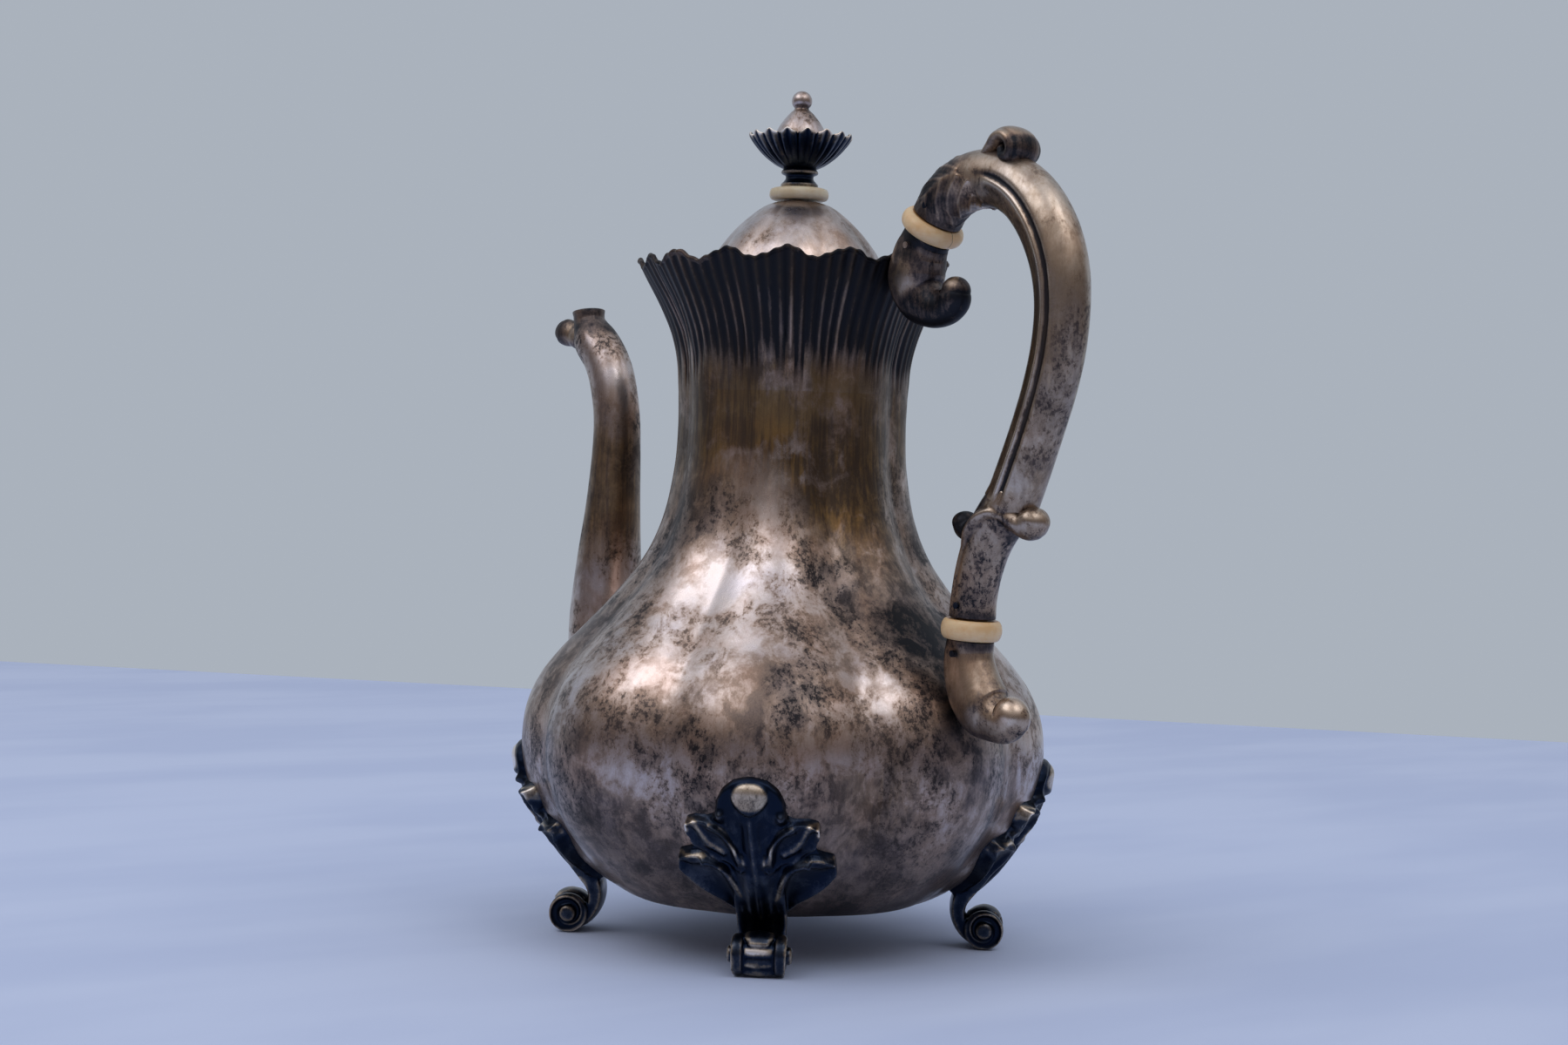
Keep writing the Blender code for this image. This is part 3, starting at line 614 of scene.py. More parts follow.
@dataclass(frozen=True)
class SilverFinish:
    """Old silver: clean pinkish metal under brown tarnish, blue-black specks and brushed streaks.

    The painted layers steer it: the wear layer, which also carries painted highlights, cleans; the oxide
    layer, which also carries painted shade, blackens; "gilt" turns the tarnish golden brown, and "relief"
    rubs the high places bright and leaves the hollows dark.
    """

    name: str
    tarnish: float = 0.55  # middle of the tarnish, from 0, clean, to 1, black
    cloud: float = 0.75  # how much the large clouds change it
    mottle: float = 0.62  # how much the ragged patches change it
    specks: float = 0.8
    streaks: float = 0.35
    relief_gain: float = 0.9
    rough_low: float = 0.27
    rough_high: float = 0.52
    clean: Colour = (0.66, 0.58, 0.56)
    worn: Colour = (0.46, 0.37, 0.33)
    brown: Colour = (0.29, 0.207, 0.160)
    umber: Colour = (0.135, 0.100, 0.086)
    black: Colour = (0.020, 0.022, 0.028)
    gold: Colour = (0.33, 0.20, 0.075)
    smoke: Colour = (0.075, 0.052, 0.038)
    seed: float = 0.0

    def make(self) -> bpy.types.Material:
        """Builds the material.

        Returns:
            The material, for any piece of silver.
        """
        n = Nodes(self.name)
        shift = (self.seed, self.seed * 1.7, -self.seed)
        clouds = n.noise(n.stretched((0.034, 0.034, 0.026), shift), 3.0, 0.5, 0.3)
        ragged = n.noise(n.stretched((0.15, 0.15, 0.115), shift), 9.0, 0.66, 0.35)
        fine = n.noise(n.stretched((0.8, 0.8, 0.62), shift), 6.0, 0.74)
        grain = n.noise(n.stretched((2.3, 2.3, 1.7), shift), 3.0, 0.6)
        brushed = n.noise(n.stretched((0.75, 0.75, 0.055), shift), 5.0, 0.6, 0.2)
        layers = ("wear_and_highlight", "oxide_and_shade", "gilt", "relief", "calm")
        wear_and_highlight, oxide_and_shade, gilt, relief, calm = (n.layer(key) for key in layers)
        drift = n.noise(n.stretched((0.045, 0.045, 0.04), (5.0 + self.seed, 8.0, 2.0)), 3.0, 0.5)
        lively = n.sum("SUBTRACT", 1.0, n.sum("MULTIPLY", calm, 0.85))

        level = n.sum("ADD", self.tarnish, n.swing(clouds, self.cloud * 1.6))
        patchy = n.sum("ADD", n.swing(ragged, 0.9), n.spread(ragged, 0.44, 0.56, -0.045, 0.045))
        level = n.sum("ADD", level, n.sum("MULTIPLY", n.sum("MULTIPLY", patchy, self.mottle * 1.7), lively))
        level = n.sum("ADD", level, n.swing(brushed, self.streaks))
        # Tarnish alone stops near umber; oxide with its painted shade, hollows and specks carry it on to
        # black.
        level = n.spread(level, 0.1, 1.0, min(0.1, self.tarnish), max(0.74, self.tarnish), soft=False)
        # Wear and painted highlights clean the metal.
        level = n.sum("SUBTRACT", level, n.sum("MULTIPLY", wear_and_highlight, n.spread(drift, 0.35, 0.6, 0.46, 0.16)))
        level = n.sum("ADD", level, n.sum("MULTIPLY", oxide_and_shade, 0.55))
        level = n.sum("SUBTRACT", level, n.sum("MULTIPLY", relief, self.relief_gain))
        level = n.sum("ADD", level, n.swing(grain, 0.22))

        # Specks gather where the tarnish is neither thin nor thick.
        zone = n.sum("MULTIPLY", n.spread(level, 0.26, 0.46), n.spread(level, 0.95, 0.7))
        speck = n.spread(n.sum("ADD", fine, n.swing(ragged, 0.5)), 0.50, 0.60)
        speck = n.sum("MULTIPLY", speck, n.sum("MULTIPLY", n.spread(drift, 0.40, 0.58), lively))
        specked = n.sum("MULTIPLY", n.sum("MULTIPLY", zone, speck), self.specks * 0.34)
        level = n.sum("ADD", level, specked, clamp=True)

        colour = n.ramp(level, [
            (0.0, self.clean), (0.16, self.clean), (0.38, self.worn), (0.57, self.brown), (0.77, self.umber),
            (1.0, self.black),
        ])
        golden = n.sum("MULTIPLY", gilt, n.spread(n.sum("ADD", ragged, clouds), 0.72, 1.02), clamp=True)
        smoky = n.spread(n.sum("ADD", brushed, drift), 0.80, 1.15, 1.0, 0.12)
        warm = n.mix(n.sum("MULTIPLY", n.spread(level, 0.2, 0.95, 1.0, 0.25), smoky), self.smoke, self.gold)
        colour = n.mix(golden, colour, warm)
        # Thin sulphide films tint the metal from rose to blue.
        film = n.noise(n.stretched((0.055, 0.055, 0.055), (3.1, 1.2, 7.7)), 4.0, 0.55)
        tint = n.ramp(film, [(0.3, (0.93, 0.98, 1.10)), (0.5, (1.0, 1.0, 1.0)), (0.7, (1.08, 0.985, 0.93))])
        colour = n.mix(1.0, colour, tint, "MULTIPLY")
        n.feed(n.shader.inputs["Base Color"], colour)
        n.shader.inputs["Metallic"].default_value = 1.0
        n.feed(n.shader.inputs["Coat Weight"], n.spread(level, 0.62, 1.0, 0.45, 0.08))
        n.shader.inputs["Coat Roughness"].default_value = 0.16
        n.shader.inputs["Coat IOR"].default_value = 1.5
        rough = n.spread(level, 0.1, 0.9, self.rough_low, self.rough_high)
        rough = n.sum("ADD", rough, n.swing(fine, 0.16), clamp=True)
        n.feed(n.shader.inputs["Roughness"], rough)

        dents = n.noise(n.stretched((0.07, 0.07, 0.05), (9.0, 2.0, 4.0)), 2.0, 0.45)
        normal = n.bump(dents, 0.9 * MM, 0.35)
        normal = n.bump(brushed, 0.05 * MM, 0.22, normal)
        normal = n.bump(fine, 0.07 * MM, 0.3, normal)
        n.feed(n.shader.inputs["Normal"], normal)
        return n.material


@dataclass(frozen=True)
class IvoryFinish:
    """Old ivory: warm cream with faint grain, browner where heat and fingers reached it."""

    name: str
    pale: Colour = (0.88, 0.645, 0.37)
    cream: Colour = (0.80, 0.51, 0.245)
    brown: Colour = (0.42, 0.22, 0.09)
    crack: bool = False
    centre: tuple[float, float, float] = (0.0, 0.0, 0.0)  # middle of the ring, in millimetres
    spot: tuple[float, float, float] = (0.0, 0.0, 0.0)

    def make(self) -> bpy.types.Material:
        """Builds the material.

        Returns:
            The material, for a ring or a disc.
        """
        n = Nodes(self.name)
        grain = n.noise(n.stretched((0.35, 0.35, 2.2)), 5.0, 0.6, 0.4)
        stain = n.noise(n.stretched((0.16, 0.16, 0.2), (4.0, 0.0, 1.0)), 4.0, 0.6)
        relief = n.layer("relief")
        colour = n.mix(n.spread(stain, 0.38, 0.66), self.pale, self.cream)
        colour = n.mix(n.sum("MULTIPLY", n.spread(grain, 0.42, 0.72), 0.35), colour, self.cream)
        colour = n.mix(n.spread(relief, -0.15, -0.9), colour, self.brown)
        height: object = grain
        if self.crack:
            wander = n.noise(n.stretched((0.0, 0.0, 0.5)), 4.0, 0.7)
            node = n.tree.nodes.new("ShaderNodeSeparateXYZ")
            n.tree.links.new(n.stretched((1.0, 1.0, 1.0), tuple(-c for c in self.spot)), node.inputs[0])
            off = n.sum("ADD", node.outputs[1], n.swing(wander, 1.6))
            front = n.spread(node.outputs[0], -2.0, 0.0)
            line = n.sum("MULTIPLY", n.spread(n.sum("ABSOLUTE", off), 0.16, 0.02), front)
            colour = n.mix(line, colour, (0.14, 0.075, 0.035))
            far = n.tree.nodes.new("ShaderNodeVectorMath")
            far.operation = "LENGTH"
            n.tree.links.new(n.stretched((1.0, 1.0, 1.0), tuple(-c for c in self.centre)), far.inputs[0])
            dot = n.spread(far.outputs["Value"], 0.95, 0.45)
            colour = n.mix(dot, colour, (0.20, 0.10, 0.045))
            height = n.sum("SUBTRACT", grain, line)
        n.feed(n.shader.inputs["Base Color"], colour)
        n.feed(n.shader.inputs["Roughness"], n.spread(grain, 0.3, 0.7, 0.28, 0.42))
        n.shader.inputs["Subsurface Weight"].default_value = 0.12
        n.shader.inputs["Subsurface Radius"].default_value = (1.6 * MM, 1.0 * MM, 0.5 * MM)
        n.feed(n.shader.inputs["Normal"], n.bump(height, 0.06 * MM, 0.4))
        return n.material


@dataclass
class Finishes:
    """The finishes made once and shared by the pieces."""

    made: dict[str, bpy.types.Material] = field(default_factory=dict)

    def get(self, finish: object) -> bpy.types.Material:
        """The material of a finish, built on first use."""
        if finish.name not in self.made:
            self.made[finish.name] = finish.make()
        return self.made[finish.name]


FINISHES = Finishes()
BODY_SILVER = SilverFinish(
    "body_silver", tarnish=0.73, cloud=0.9, mottle=0.78, specks=0.75, black=(0.014, 0.015, 0.019),
)
SEAT_SILVER = SilverFinish("seat_silver", tarnish=0.9, cloud=0.3, mottle=0.5, specks=0.5, seed=2.0)
CAST_OXIDE = SilverFinish(
    "cast_oxide", tarnish=0.93, cloud=0.25, mottle=0.5, specks=0.3, streaks=0.1, relief_gain=0.85,
    rough_low=0.44, rough_high=0.36, clean=(0.95, 0.87, 0.79), worn=(0.50, 0.42, 0.33),
    brown=(0.19, 0.155, 0.12), umber=(0.028, 0.038, 0.060), black=(0.006, 0.012, 0.028), seed=5.0,
)
HANDLE_SILVER = SilverFinish(
    "handle_silver", tarnish=0.66, cloud=0.55, mottle=0.6, specks=0.8, streaks=0.55, relief_gain=0.8,
    clean=(0.59, 0.50, 0.42), worn=(0.44, 0.35, 0.275), brown=(0.31, 0.228, 0.165), seed=7.0,
)
SPOUT_SILVER = SilverFinish(
    "spout_silver", tarnish=0.62, cloud=0.5, mottle=0.7, specks=1.0, streaks=0.4, relief_gain=0.7, seed=11.0,
)
LID_SILVER = SilverFinish(
    "lid_silver", tarnish=0.44, cloud=0.5, mottle=0.5, specks=0.7, streaks=0.2, seed=3.0,
)
KNOP_SILVER = SilverFinish("knop_silver", tarnish=0.46, cloud=0.5, mottle=0.6, streaks=0.1, seed=13.0)
INNER_SILVER = SilverFinish("inner_silver", tarnish=0.66, cloud=0.4, mottle=0.6, streaks=0.3, seed=17.0)
DISC_IVORY = IvoryFinish("disc_ivory", pale=(0.86, 0.76, 0.56), cream=(0.74, 0.60, 0.38))
LOWER_IVORY = IvoryFinish("lower_ivory")
UPPER_IVORY = IvoryFinish("upper_ivory", crack=True, spot=(62.0, 0.0, 216.5), centre=(53.6, -7.2, 218.6))


def dress(obj: bpy.types.Object, finish: object, body: Body, slot: Slot, *nodes: str) -> bpy.types.Object:
    """Gives a finished piece its material and its body, and hides the CAD nodes it stands for.

    Args:
        obj: The piece.
        finish: Its finish.
        body: The CAD body it rides on.
        slot: The record's slot; not used.
        nodes: CAD nodes that it replaces.

    Returns:
        The piece.
    """
    obj.data.materials.clear()
    obj.data.materials.append(FINISHES.get(finish))
    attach(obj, body.value)
    if nodes:
        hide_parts(*nodes)
    log.info("%s: %d faces, on %s", obj.name, len(obj.data.polygons), body.value)
    return obj


# ----------------------------------------------------------------------------------------------
# Body and collar
# ----------------------------------------------------------------------------------------------


@dataclass
class Vessel:
    """The lobed body and the fluted collar at its top, raised as one skin and worn together."""

    crown: Points = field(default_factory=lambda: [
        (40.0, 13.2), (46.5, 14.0), (54.0, 17.6), (62.5, 24.0), (71.0, 33.0), (77.4, 43.0), (80.4, 53.0),
        (80.8, 62.0), (79.4, 71.0), (75.6, 79.5), (70.0, 87.0), (63.0, 94.5), (55.6, 102.5), (48.6, 111.0),
        (42.8, 120.0), (38.6, 131.0), (36.0, 145.0), (35.3, 157.0), (35.5, 168.0),
    ])
    collar_crown: Points = field(default_factory=lambda: [
        (35.5, 168.0), (36.4, 178.0), (38.7, 187.0), (42.1, 195.5), (46.2, 203.5), (48.6, 208.3),
    ])
    wall: float = 1.0
    lobe_depth: float = 0.076
    scallops: int = 16
    ribs: int = 80
    rib_columns: int = 9
    flute_depth: float = 0.62
    edge_rise: float = 1.45
    edge_swell: float = 0.8
    bead: float = 0.62
    # Worn and tarnished patches, with painted highlights among the worn ones and painted shade beside the
    # lower socket among the dark ones: angle from the front in degrees, height, spread, strength.
    highlight_and_wear_patches: Points = field(default_factory=lambda: [
        (-38, 84, 15, 0.75), (-30, 66, 10, 0.35), (-14, 112, 12, 0.65), (-8, 132, 9, 0.6),
        (4, 100, 10, 0.4), (22, 76, 10, 0.75), (34, 90, 8, 0.5), (-20, 96, 12, 0.5), (8, 60, 8, 0.3),
        (-2, 146, 6, 0.55), (34, 122, 6, 0.35), (-2, 138, 12, 0.9), (-24, 126, 12, 0.4),
        (12, 126, 8, 0.35), (150, 90, 18, 0.6), (200, 80, 14, 0.5), (95, 88, 14, 0.5),
        (230, 110, 14, 0.5), (180, 128, 12, 0.5), (120, 60, 12, 0.3), (265, 70, 14, 0.4),
    ])
    # Tarnished patches, and painted shade on the belly beside the lower socket.
    tarnish_and_shade_patches: Points = field(default_factory=lambda: [
        (-46, 116, 12, 0.4), (-62, 98, 12, 0.3), (48, 108, 14, 0.35), (52, 84, 12, 0.35), (8, 92, 8, 0.3),
        (12, 48, 7, 0.3), (-12, 50, 8, 0.3), (24, 56, 12, 0.25), (46, 62, 12, 0.3), (-52, 48, 14, 0.25),
        (16, 118, 8, 0.55), (20, 88, 6, 0.35), (-46, 44, 10, 0.25), (56, 84, 10, 0.2), (-60, 130, 12, 0.3),
        (8, 26, 16, 0.35), (37, 90, 7, 0.4), (34, 104, 6, 0.4), (140, 50, 16, 0.4), (205, 46, 16, 0.4),
        (250, 44, 14, 0.4), (90, 118, 10, 0.4),
        (170, 104, 7, 0.4), (-30, 28, 14, 0.3), (40, 30, 14, 0.35),
    ])
    gilt_patches: Points = field(default_factory=lambda: [
        (-40, 158, 12, 0.9), (-10, 166, 8, 0.8), (22, 158, 14, 1.0), (30, 138, 9, 0.8),
        (52, 128, 10, 0.5), (26, 146, 9, 0.9), (90, 156, 14, 0.9), (140, 160, 14, 0.9),
        (190, 158, 14, 0.9), (240, 160, 14, 0.9), (26, 54, 9, 0.5), (285, 156, 12, 0.8),
    ])
    front: float = math.radians(-45.0)  # angle of the lobe that carries the front foot

    def lobed(self, angle: np.ndarray, radius: np.ndarray, height: np.ndarray) -> np.ndarray:
        """Radius of the body at an angle and a height, in millimetres."""
        share = np.clip((height - 13.0) / 19.0, 0, 1)
        return radius * lobe(angle, self.lobe_depth * (0.35 + 0.65 * share))

    def surface(self, angle: np.ndarray, height: np.ndarray) -> np.ndarray:
        """Outside radius of body and collar, without the flutes, in millimetres."""
        outline = np.vstack([curve_through(self.crown, 200), curve_through(self.collar_crown, 80)[1:]])
        radius = np.interp(height, outline[:, 1], outline[:, 0])
        share = np.clip((np.asarray(height) - 186.0) / 22.3, 0, 1)
        depth = np.where(height > 168, self.lobe_depth * (1 - 0.5 * share), self.lobe_depth)
        low = np.clip((np.asarray(height) - 13.0) / 19.0, 0, 1)
        return radius * lobe(angle, depth * (0.35 + 0.65 * low))

    def patches(self, angle: np.ndarray, height: np.ndarray, listed: Points) -> np.ndarray:
        """Sums soft patches over the surface.

        Args:
            angle: Angle of each point.
            height: Height of each point.
            listed: (degrees from the front, height, spread, strength) of each patch.

        Returns:
            The sum at each point.
        """
        total = np.zeros(np.broadcast(angle, height).shape)
        around = np.interp(height, [13, 60, 110, 150, 210], [45, 80, 50, 36, 46])
        for degrees, middle, spread, strength in listed:
            off = nearest_turn(angle - self.front - math.radians(degrees))
            far = np.hypot(off * around, (height - middle) * 0.85)
            total = total + strength * bell(far, 0, spread)
        return total

    def weather(self, angle: np.ndarray, height: np.ndarray) -> Layers:
        """The painted layers of body and collar alike, so that they run on without a seam."""
        # Painted highlights go in with the worn patches, and painted shade beside the lower socket goes in
        # with the tarnished ones.
        wear_and_highlight = self.patches(angle, height, self.highlight_and_wear_patches) + 0.25 * smooth_step(height, 48, 28)
        dark = self.patches(angle, height, self.tarnish_and_shade_patches)
        gilt = self.patches(angle, height, self.gilt_patches)
        neck = smooth_step(height, 144, 156) * smooth_step(height, 188, 170)
        crease = 1 - np.abs(np.cos(4 * angle))
        oxide_and_shade = 0.85 * dark + 0.34 * neck + 0.10 * smooth_step(height, 30, 16) + 0.10 * crease ** 3
        calm = 0.55 * neck + 0.55 * smooth_step(height, 52, 30)
        return {"wear_and_highlight": wear_and_highlight, "oxide_and_shade": oxide_and_shade, "gilt": np.clip(gilt + 0.25 * neck, 0, 1), "calm": calm}

    def body(self) -> bpy.types.Object:
        """Raises the body: up its outside, over the neck's edge and down its inside."""
        outside = curve_through(self.crown, 150)
        inside = inner_wall(curve_through(self.crown, 40), self.wall)[::-1]
        outline = np.vstack([outside, inside, outside[:1]])
        angle = np.linspace(0, TURN, 384, endpoint=False)[None, :]
        height = np.repeat(outline[:, 1:], angle.shape[1], axis=1)
        radius = self.lobed(angle, outline[:, :1], height)
        points = about_axis(radius, angle, height)
        layers = self.weather(angle, height)
        hollow = np.zeros_like(height)
        hollow[len(outside):-1] = 1
        layers["oxide_and_shade"] = layers["oxide_and_shade"] * (1 - hollow) + 0.3 * hollow
        made = rolled_skin("lobed_body", points, layers)
        smooth_shade(made)
        bands = ("body_bowl", "body_belt", "body_shoulder", "body_neck")
        return dress(made, BODY_SILVER, Body.POT, Slot.SILVER, *bands)

    def collar(self) -> bpy.types.Object:
        """Raises the collar with its concave flutes, scalloped edge and rolled rim."""
        columns = self.ribs * self.rib_columns
        angle = np.linspace(0, TURN, columns, endpoint=False)[None, :]
        outside = curve_through(self.collar_crown, 64)
        inside = inner_wall(outside, self.wall)[::-1]
        top, under = outside[-1], inside[0]
        middle = (top + under) / 2
        across = (top - under) / np.linalg.norm(top - under)
        along = np.array([-across[1], across[0]])
        turns = [math.radians(degrees) for degrees in np.linspace(-50, 230, 13)]
        roll = [middle + self.bead * 1.25 * (math.cos(t) * across + math.sin(t) * along) for t in turns]
        outline = np.vstack([outside[:-1], roll, inside[1::2], outside[:1]])
        up = np.concatenate([
            np.linspace(0, 1, len(outside) - 1), np.ones(len(roll)), np.linspace(1, 0, len(inside[1::2])),
            [0],
        ])[:, None]
        height = np.repeat(outline[:, 1:], columns, axis=1)
        share = np.clip((height - 186.0) / 22.3, 0, 1)
        wave = np.cos(self.scallops * angle)
        random = np.random.default_rng(4)
        each = random.normal(0, 1, self.ribs)
        starts = random.uniform(165.5, 175.0, self.ribs)
        which = (np.arange(columns) // self.rib_columns) % self.ribs
        rib_gain = np.repeat((1 + 0.22 * each)[which][None, :], len(outline), axis=0)
        fade = smooth_step((height - starts[which][None, :]) / 12.0, 0, 1)
        valley = np.abs(np.sin(self.ribs / 2 * (angle - math.pi / self.ribs)))
        strong = 0.62 + 0.38 * (0.5 + 0.5 * wave)
        flute = -self.flute_depth * valley ** 0.8 * fade * rib_gain * strong
        inner = np.zeros_like(height)
        inner[len(outside) - 1 + len(roll):-1] = 1
        lobes = lobe(angle, self.lobe_depth * (1 - 0.5 * share))
        radius = outline[:, :1] * lobes + self.edge_swell * wave * share
        crimp = np.cos(self.ribs * angle + 0.8 * np.sin(3 * angle)) * 0.26 + 0.30 * np.sin(
            2 * self.scallops * angle + 0.7 * np.sin(5 * angle)
        )
        hooks = smooth_step(share, 0.86, 1.0)
        # The old rim is drawn in beside the handle, and has settled to the other side.
        drawn = nearest_turn(angle - math.radians(42))
        radius = radius + flute + hooks * 0.5 * crimp - 2.4 * share ** 2 * bell(drawn, 0, 0.3)
        rise = self.edge_rise * wave * share ** 2 + hooks * crimp * 0.9
        rise = rise - share * (0.9 + 0.9 * np.cos(angle - math.radians(229)))
        points = about_axis(radius, angle, height + rise)
        layers = self.weather(angle, height)
        rim = np.repeat(((up > 0.999) * 1.0), columns, axis=1)
        ridge = 1 - valley ** 0.7
        bright = ridge ** 1.2 * strong * (0.5 + 0.5 * smooth_step(rib_gain, 0.7, 1.25))
        high = smooth_step(height, 188, 206)
        flutes = 1.15 - bright * (1.45 - 0.6 * high)
        layers["oxide_and_shade"] = layers["oxide_and_shade"] * (1 - fade) + fade * flutes + 0.20 * inner
        layers["oxide_and_shade"] = layers["oxide_and_shade"] * (1 - rim) + 0.72 * rim
        layers["gilt"] = layers["gilt"] * (1 - fade) + 0.7 * bright * fade
        layers["calm"] = layers["calm"] * (1 - fade) + fade
        layers["wear_and_highlight"] = layers["wear_and_highlight"] * (1 - fade)
        made = rolled_skin("fluted_collar_skin", points, layers)
        smooth_shade(made, 60)
        return dress(made, BODY_SILVER, Body.POT, Slot.OXIDE, "fluted_collar")


# ----------------------------------------------------------------------------------------------
# Lid and finial
# ----------------------------------------------------------------------------------------------


@dataclass
class Lid:
    """The domed lid with its ivory disc, fluted cup and knop."""

    crown: Points = field(default_factory=lambda: [
        (35.0, 190.3), (35.1, 190.9), (34.6, 192.2), (31.8, 196.6), (29.3, 202.0), (27.4, 206.4),
        (25.2, 211.0), (22.5, 215.0), (19.3, 218.8), (15.1, 222.8), (10.4, 226.2), (6.2, 227.6),
        (2.3, 227.9),
    ])
    cup_outline: Points = field(default_factory=lambda: [
        (2.0, 232.1), (5.2, 232.1), (5.7, 232.4), (5.75, 233.0), (5.2, 233.6), (4.4, 234.6),
        (4.3, 235.4), (4.6, 235.9), (5.4, 236.2), (5.75, 236.7), (5.5, 237.3), (5.1, 237.8),
        (5.9, 238.2), (7.6, 239.1), (9.3, 240.3), (10.9, 241.6), (12.3, 243.0), (13.5, 244.4),
        (14.5, 245.7), (15.3, 246.9), (15.7, 247.6), (15.4, 248.0), (14.8, 247.6), (13.8, 246.6),
        (12.2, 245.8), (9.4, 244.9), (2.0, 244.9),
    ])
    knop_outline: Points = field(default_factory=lambda: [
        (0.0, 244.9), (8.35, 244.9), (8.5, 245.8), (8.35, 247.0), (7.9, 248.6), (7.2, 250.1), (6.2, 251.8),
        (5.1, 253.3), (4.0, 254.6), (3.1, 255.5), (2.5, 256.0), (2.2, 256.5), (2.2, 256.75), (2.6, 257.2),
        (3.0, 257.9), (3.15, 258.85), (3.0, 259.8), (2.55, 260.7), (1.85, 261.4), (0.95, 261.85),
        (0.0, 262.0),
    ])

    def dome(self) -> bpy.types.Object:
        """Raises the dome with its eight shallow lobes."""
        outside = curve_through(self.crown, 90)
        inside = inner_wall(curve_through(self.crown, 30), 1.0)[::-1]
        inside[:, 1] = np.maximum(inside[:, 1], self.crown[0][1])
        outline = np.vstack([outside, inside, outside[:1]])
        angle = np.linspace(0, TURN, 288, endpoint=False)[None, :]
        height = np.repeat(outline[:, 1:], 288, axis=1)
        radius = outline[:, :1] * lobe(angle, 0.052)
        points = about_axis(radius, angle, height)
        edge = bell(height, 199, 7) * 0.2
        crease = (1 - np.abs(np.cos(4 * angle))) ** 4
        side = bell(nearest_turn(angle + 0.95), 0, 0.35) * bell(height, 213, 9)
        layers = {
            "wear_and_highlight": edge + 0.45 * side, "oxide_and_shade": 0.16 * crease + 0.25 * smooth_step(height, 196, 191),
            "gilt": 0.25 * bell(height, 210, 10) + 0 * angle,
        }
        made = rolled_skin("lobed_lid_dome", points, layers)
        smooth_shade(made)
        return dress(made, LID_SILVER, Body.LID, Slot.SILVER, "lid_dome")

    def disc(self) -> bpy.types.Object:
        """Turns the ivory disc."""
        made = spun("ivory_disc", [
            (2.0, 228.2), (7.9, 228.2), (8.6, 228.45), (9.0, 228.95), (9.15, 229.7), (9.15, 230.3),
            (9.0, 231.05), (8.6, 231.55), (7.9, 231.8), (2.0, 231.8), (2.0, 228.2),
        ])
        smooth_shade(made, 50)
        paint_relief(made, 2, 0.2 * MM)
        return dress(made, DISC_IVORY, Body.LID, Slot.IVORY, "finial_ivory_disc")

    def cup(self) -> bpy.types.Object:
        """Spins the cup and crimps its bowl into petals."""
        outline = curve_through(self.cup_outline, 150)
        outline = np.vstack([outline, outline[:1]])
        columns = 320
        angle = np.linspace(0, TURN, columns, endpoint=False)[None, :]
        radius = np.repeat(outline[:, :1], columns, axis=1)
        height = np.repeat(outline[:, 1:], columns, axis=1)
        share = np.clip((radius - 5.6) / 9.9, 0, 1) * (height > 237.7)
        petal = np.abs(np.sin(8 * angle))
        rib = np.abs(np.sin(16 * angle))
        under = np.repeat((np.arange(len(outline)) < 100)[:, None] * 1.0, columns, axis=1)
        radius = radius + share * (1.5 * (petal ** 0.6 - 0.75) + 0.35 * (rib ** 0.7 - 0.6) * under)
        height = height + share ** 3 * (1.7 * (petal ** 0.8 - 0.65) + 0.25 * np.cos(32 * angle))
        points = about_axis(radius, angle, height)
        edge = smooth_step(share, 0.93, 0.99)
        layers = {"wear_and_highlight": 0.7 * edge * petal, "oxide_and_shade": 0.12 + 0 * share, "gilt": 0 * share}
        made = rolled_skin("fluted_finial_cup", points, layers)
        smooth_shade(made, 60)
        paint_relief(made, 5, 0.22 * MM)
        return dress(made, CAST_OXIDE, Body.LID, Slot.OXIDE, "finial_cup")

    def knop(self) -> bpy.types.Object:
        """Turns the knop: the inner dome with its ball."""
        outline = curve_through(self.knop_outline, 90)
        outline[:, 0] = np.maximum(outline[:, 0], 0)
        outline[0, 0] = outline[-1, 0] = 0
        made = spun("finial_knop_turned", [tuple(row) for row in outline], 80)
        smooth_shade(made, 60)
        height = mesh_points(made)[:, 2] / MM
        paint(made, "wear_and_highlight", 0.3 * smooth_step(height, 256, 259) + 0.15 * bell(height, 250, 2.5))
        paint(made, "oxide_and_shade", 0.5 * bell(height, 256.4, 0.9) + 0.4 * smooth_step(height, 248, 246))
        return dress(made, KNOP_SILVER, Body.LID, Slot.SILVER, "finial_knop")

    def build(self) -> None:
        """Builds the lid's pieces, from the dome up."""
        self.dome()
        self.disc()
        self.cup()
        self.knop()


# ----------------------------------------------------------------------------------------------
# Rods and tubes along a bent line: spout, sockets and handle
# ----------------------------------------------------------------------------------------------

Shape = Callable[[np.ndarray, np.ndarray], np.ndarray]


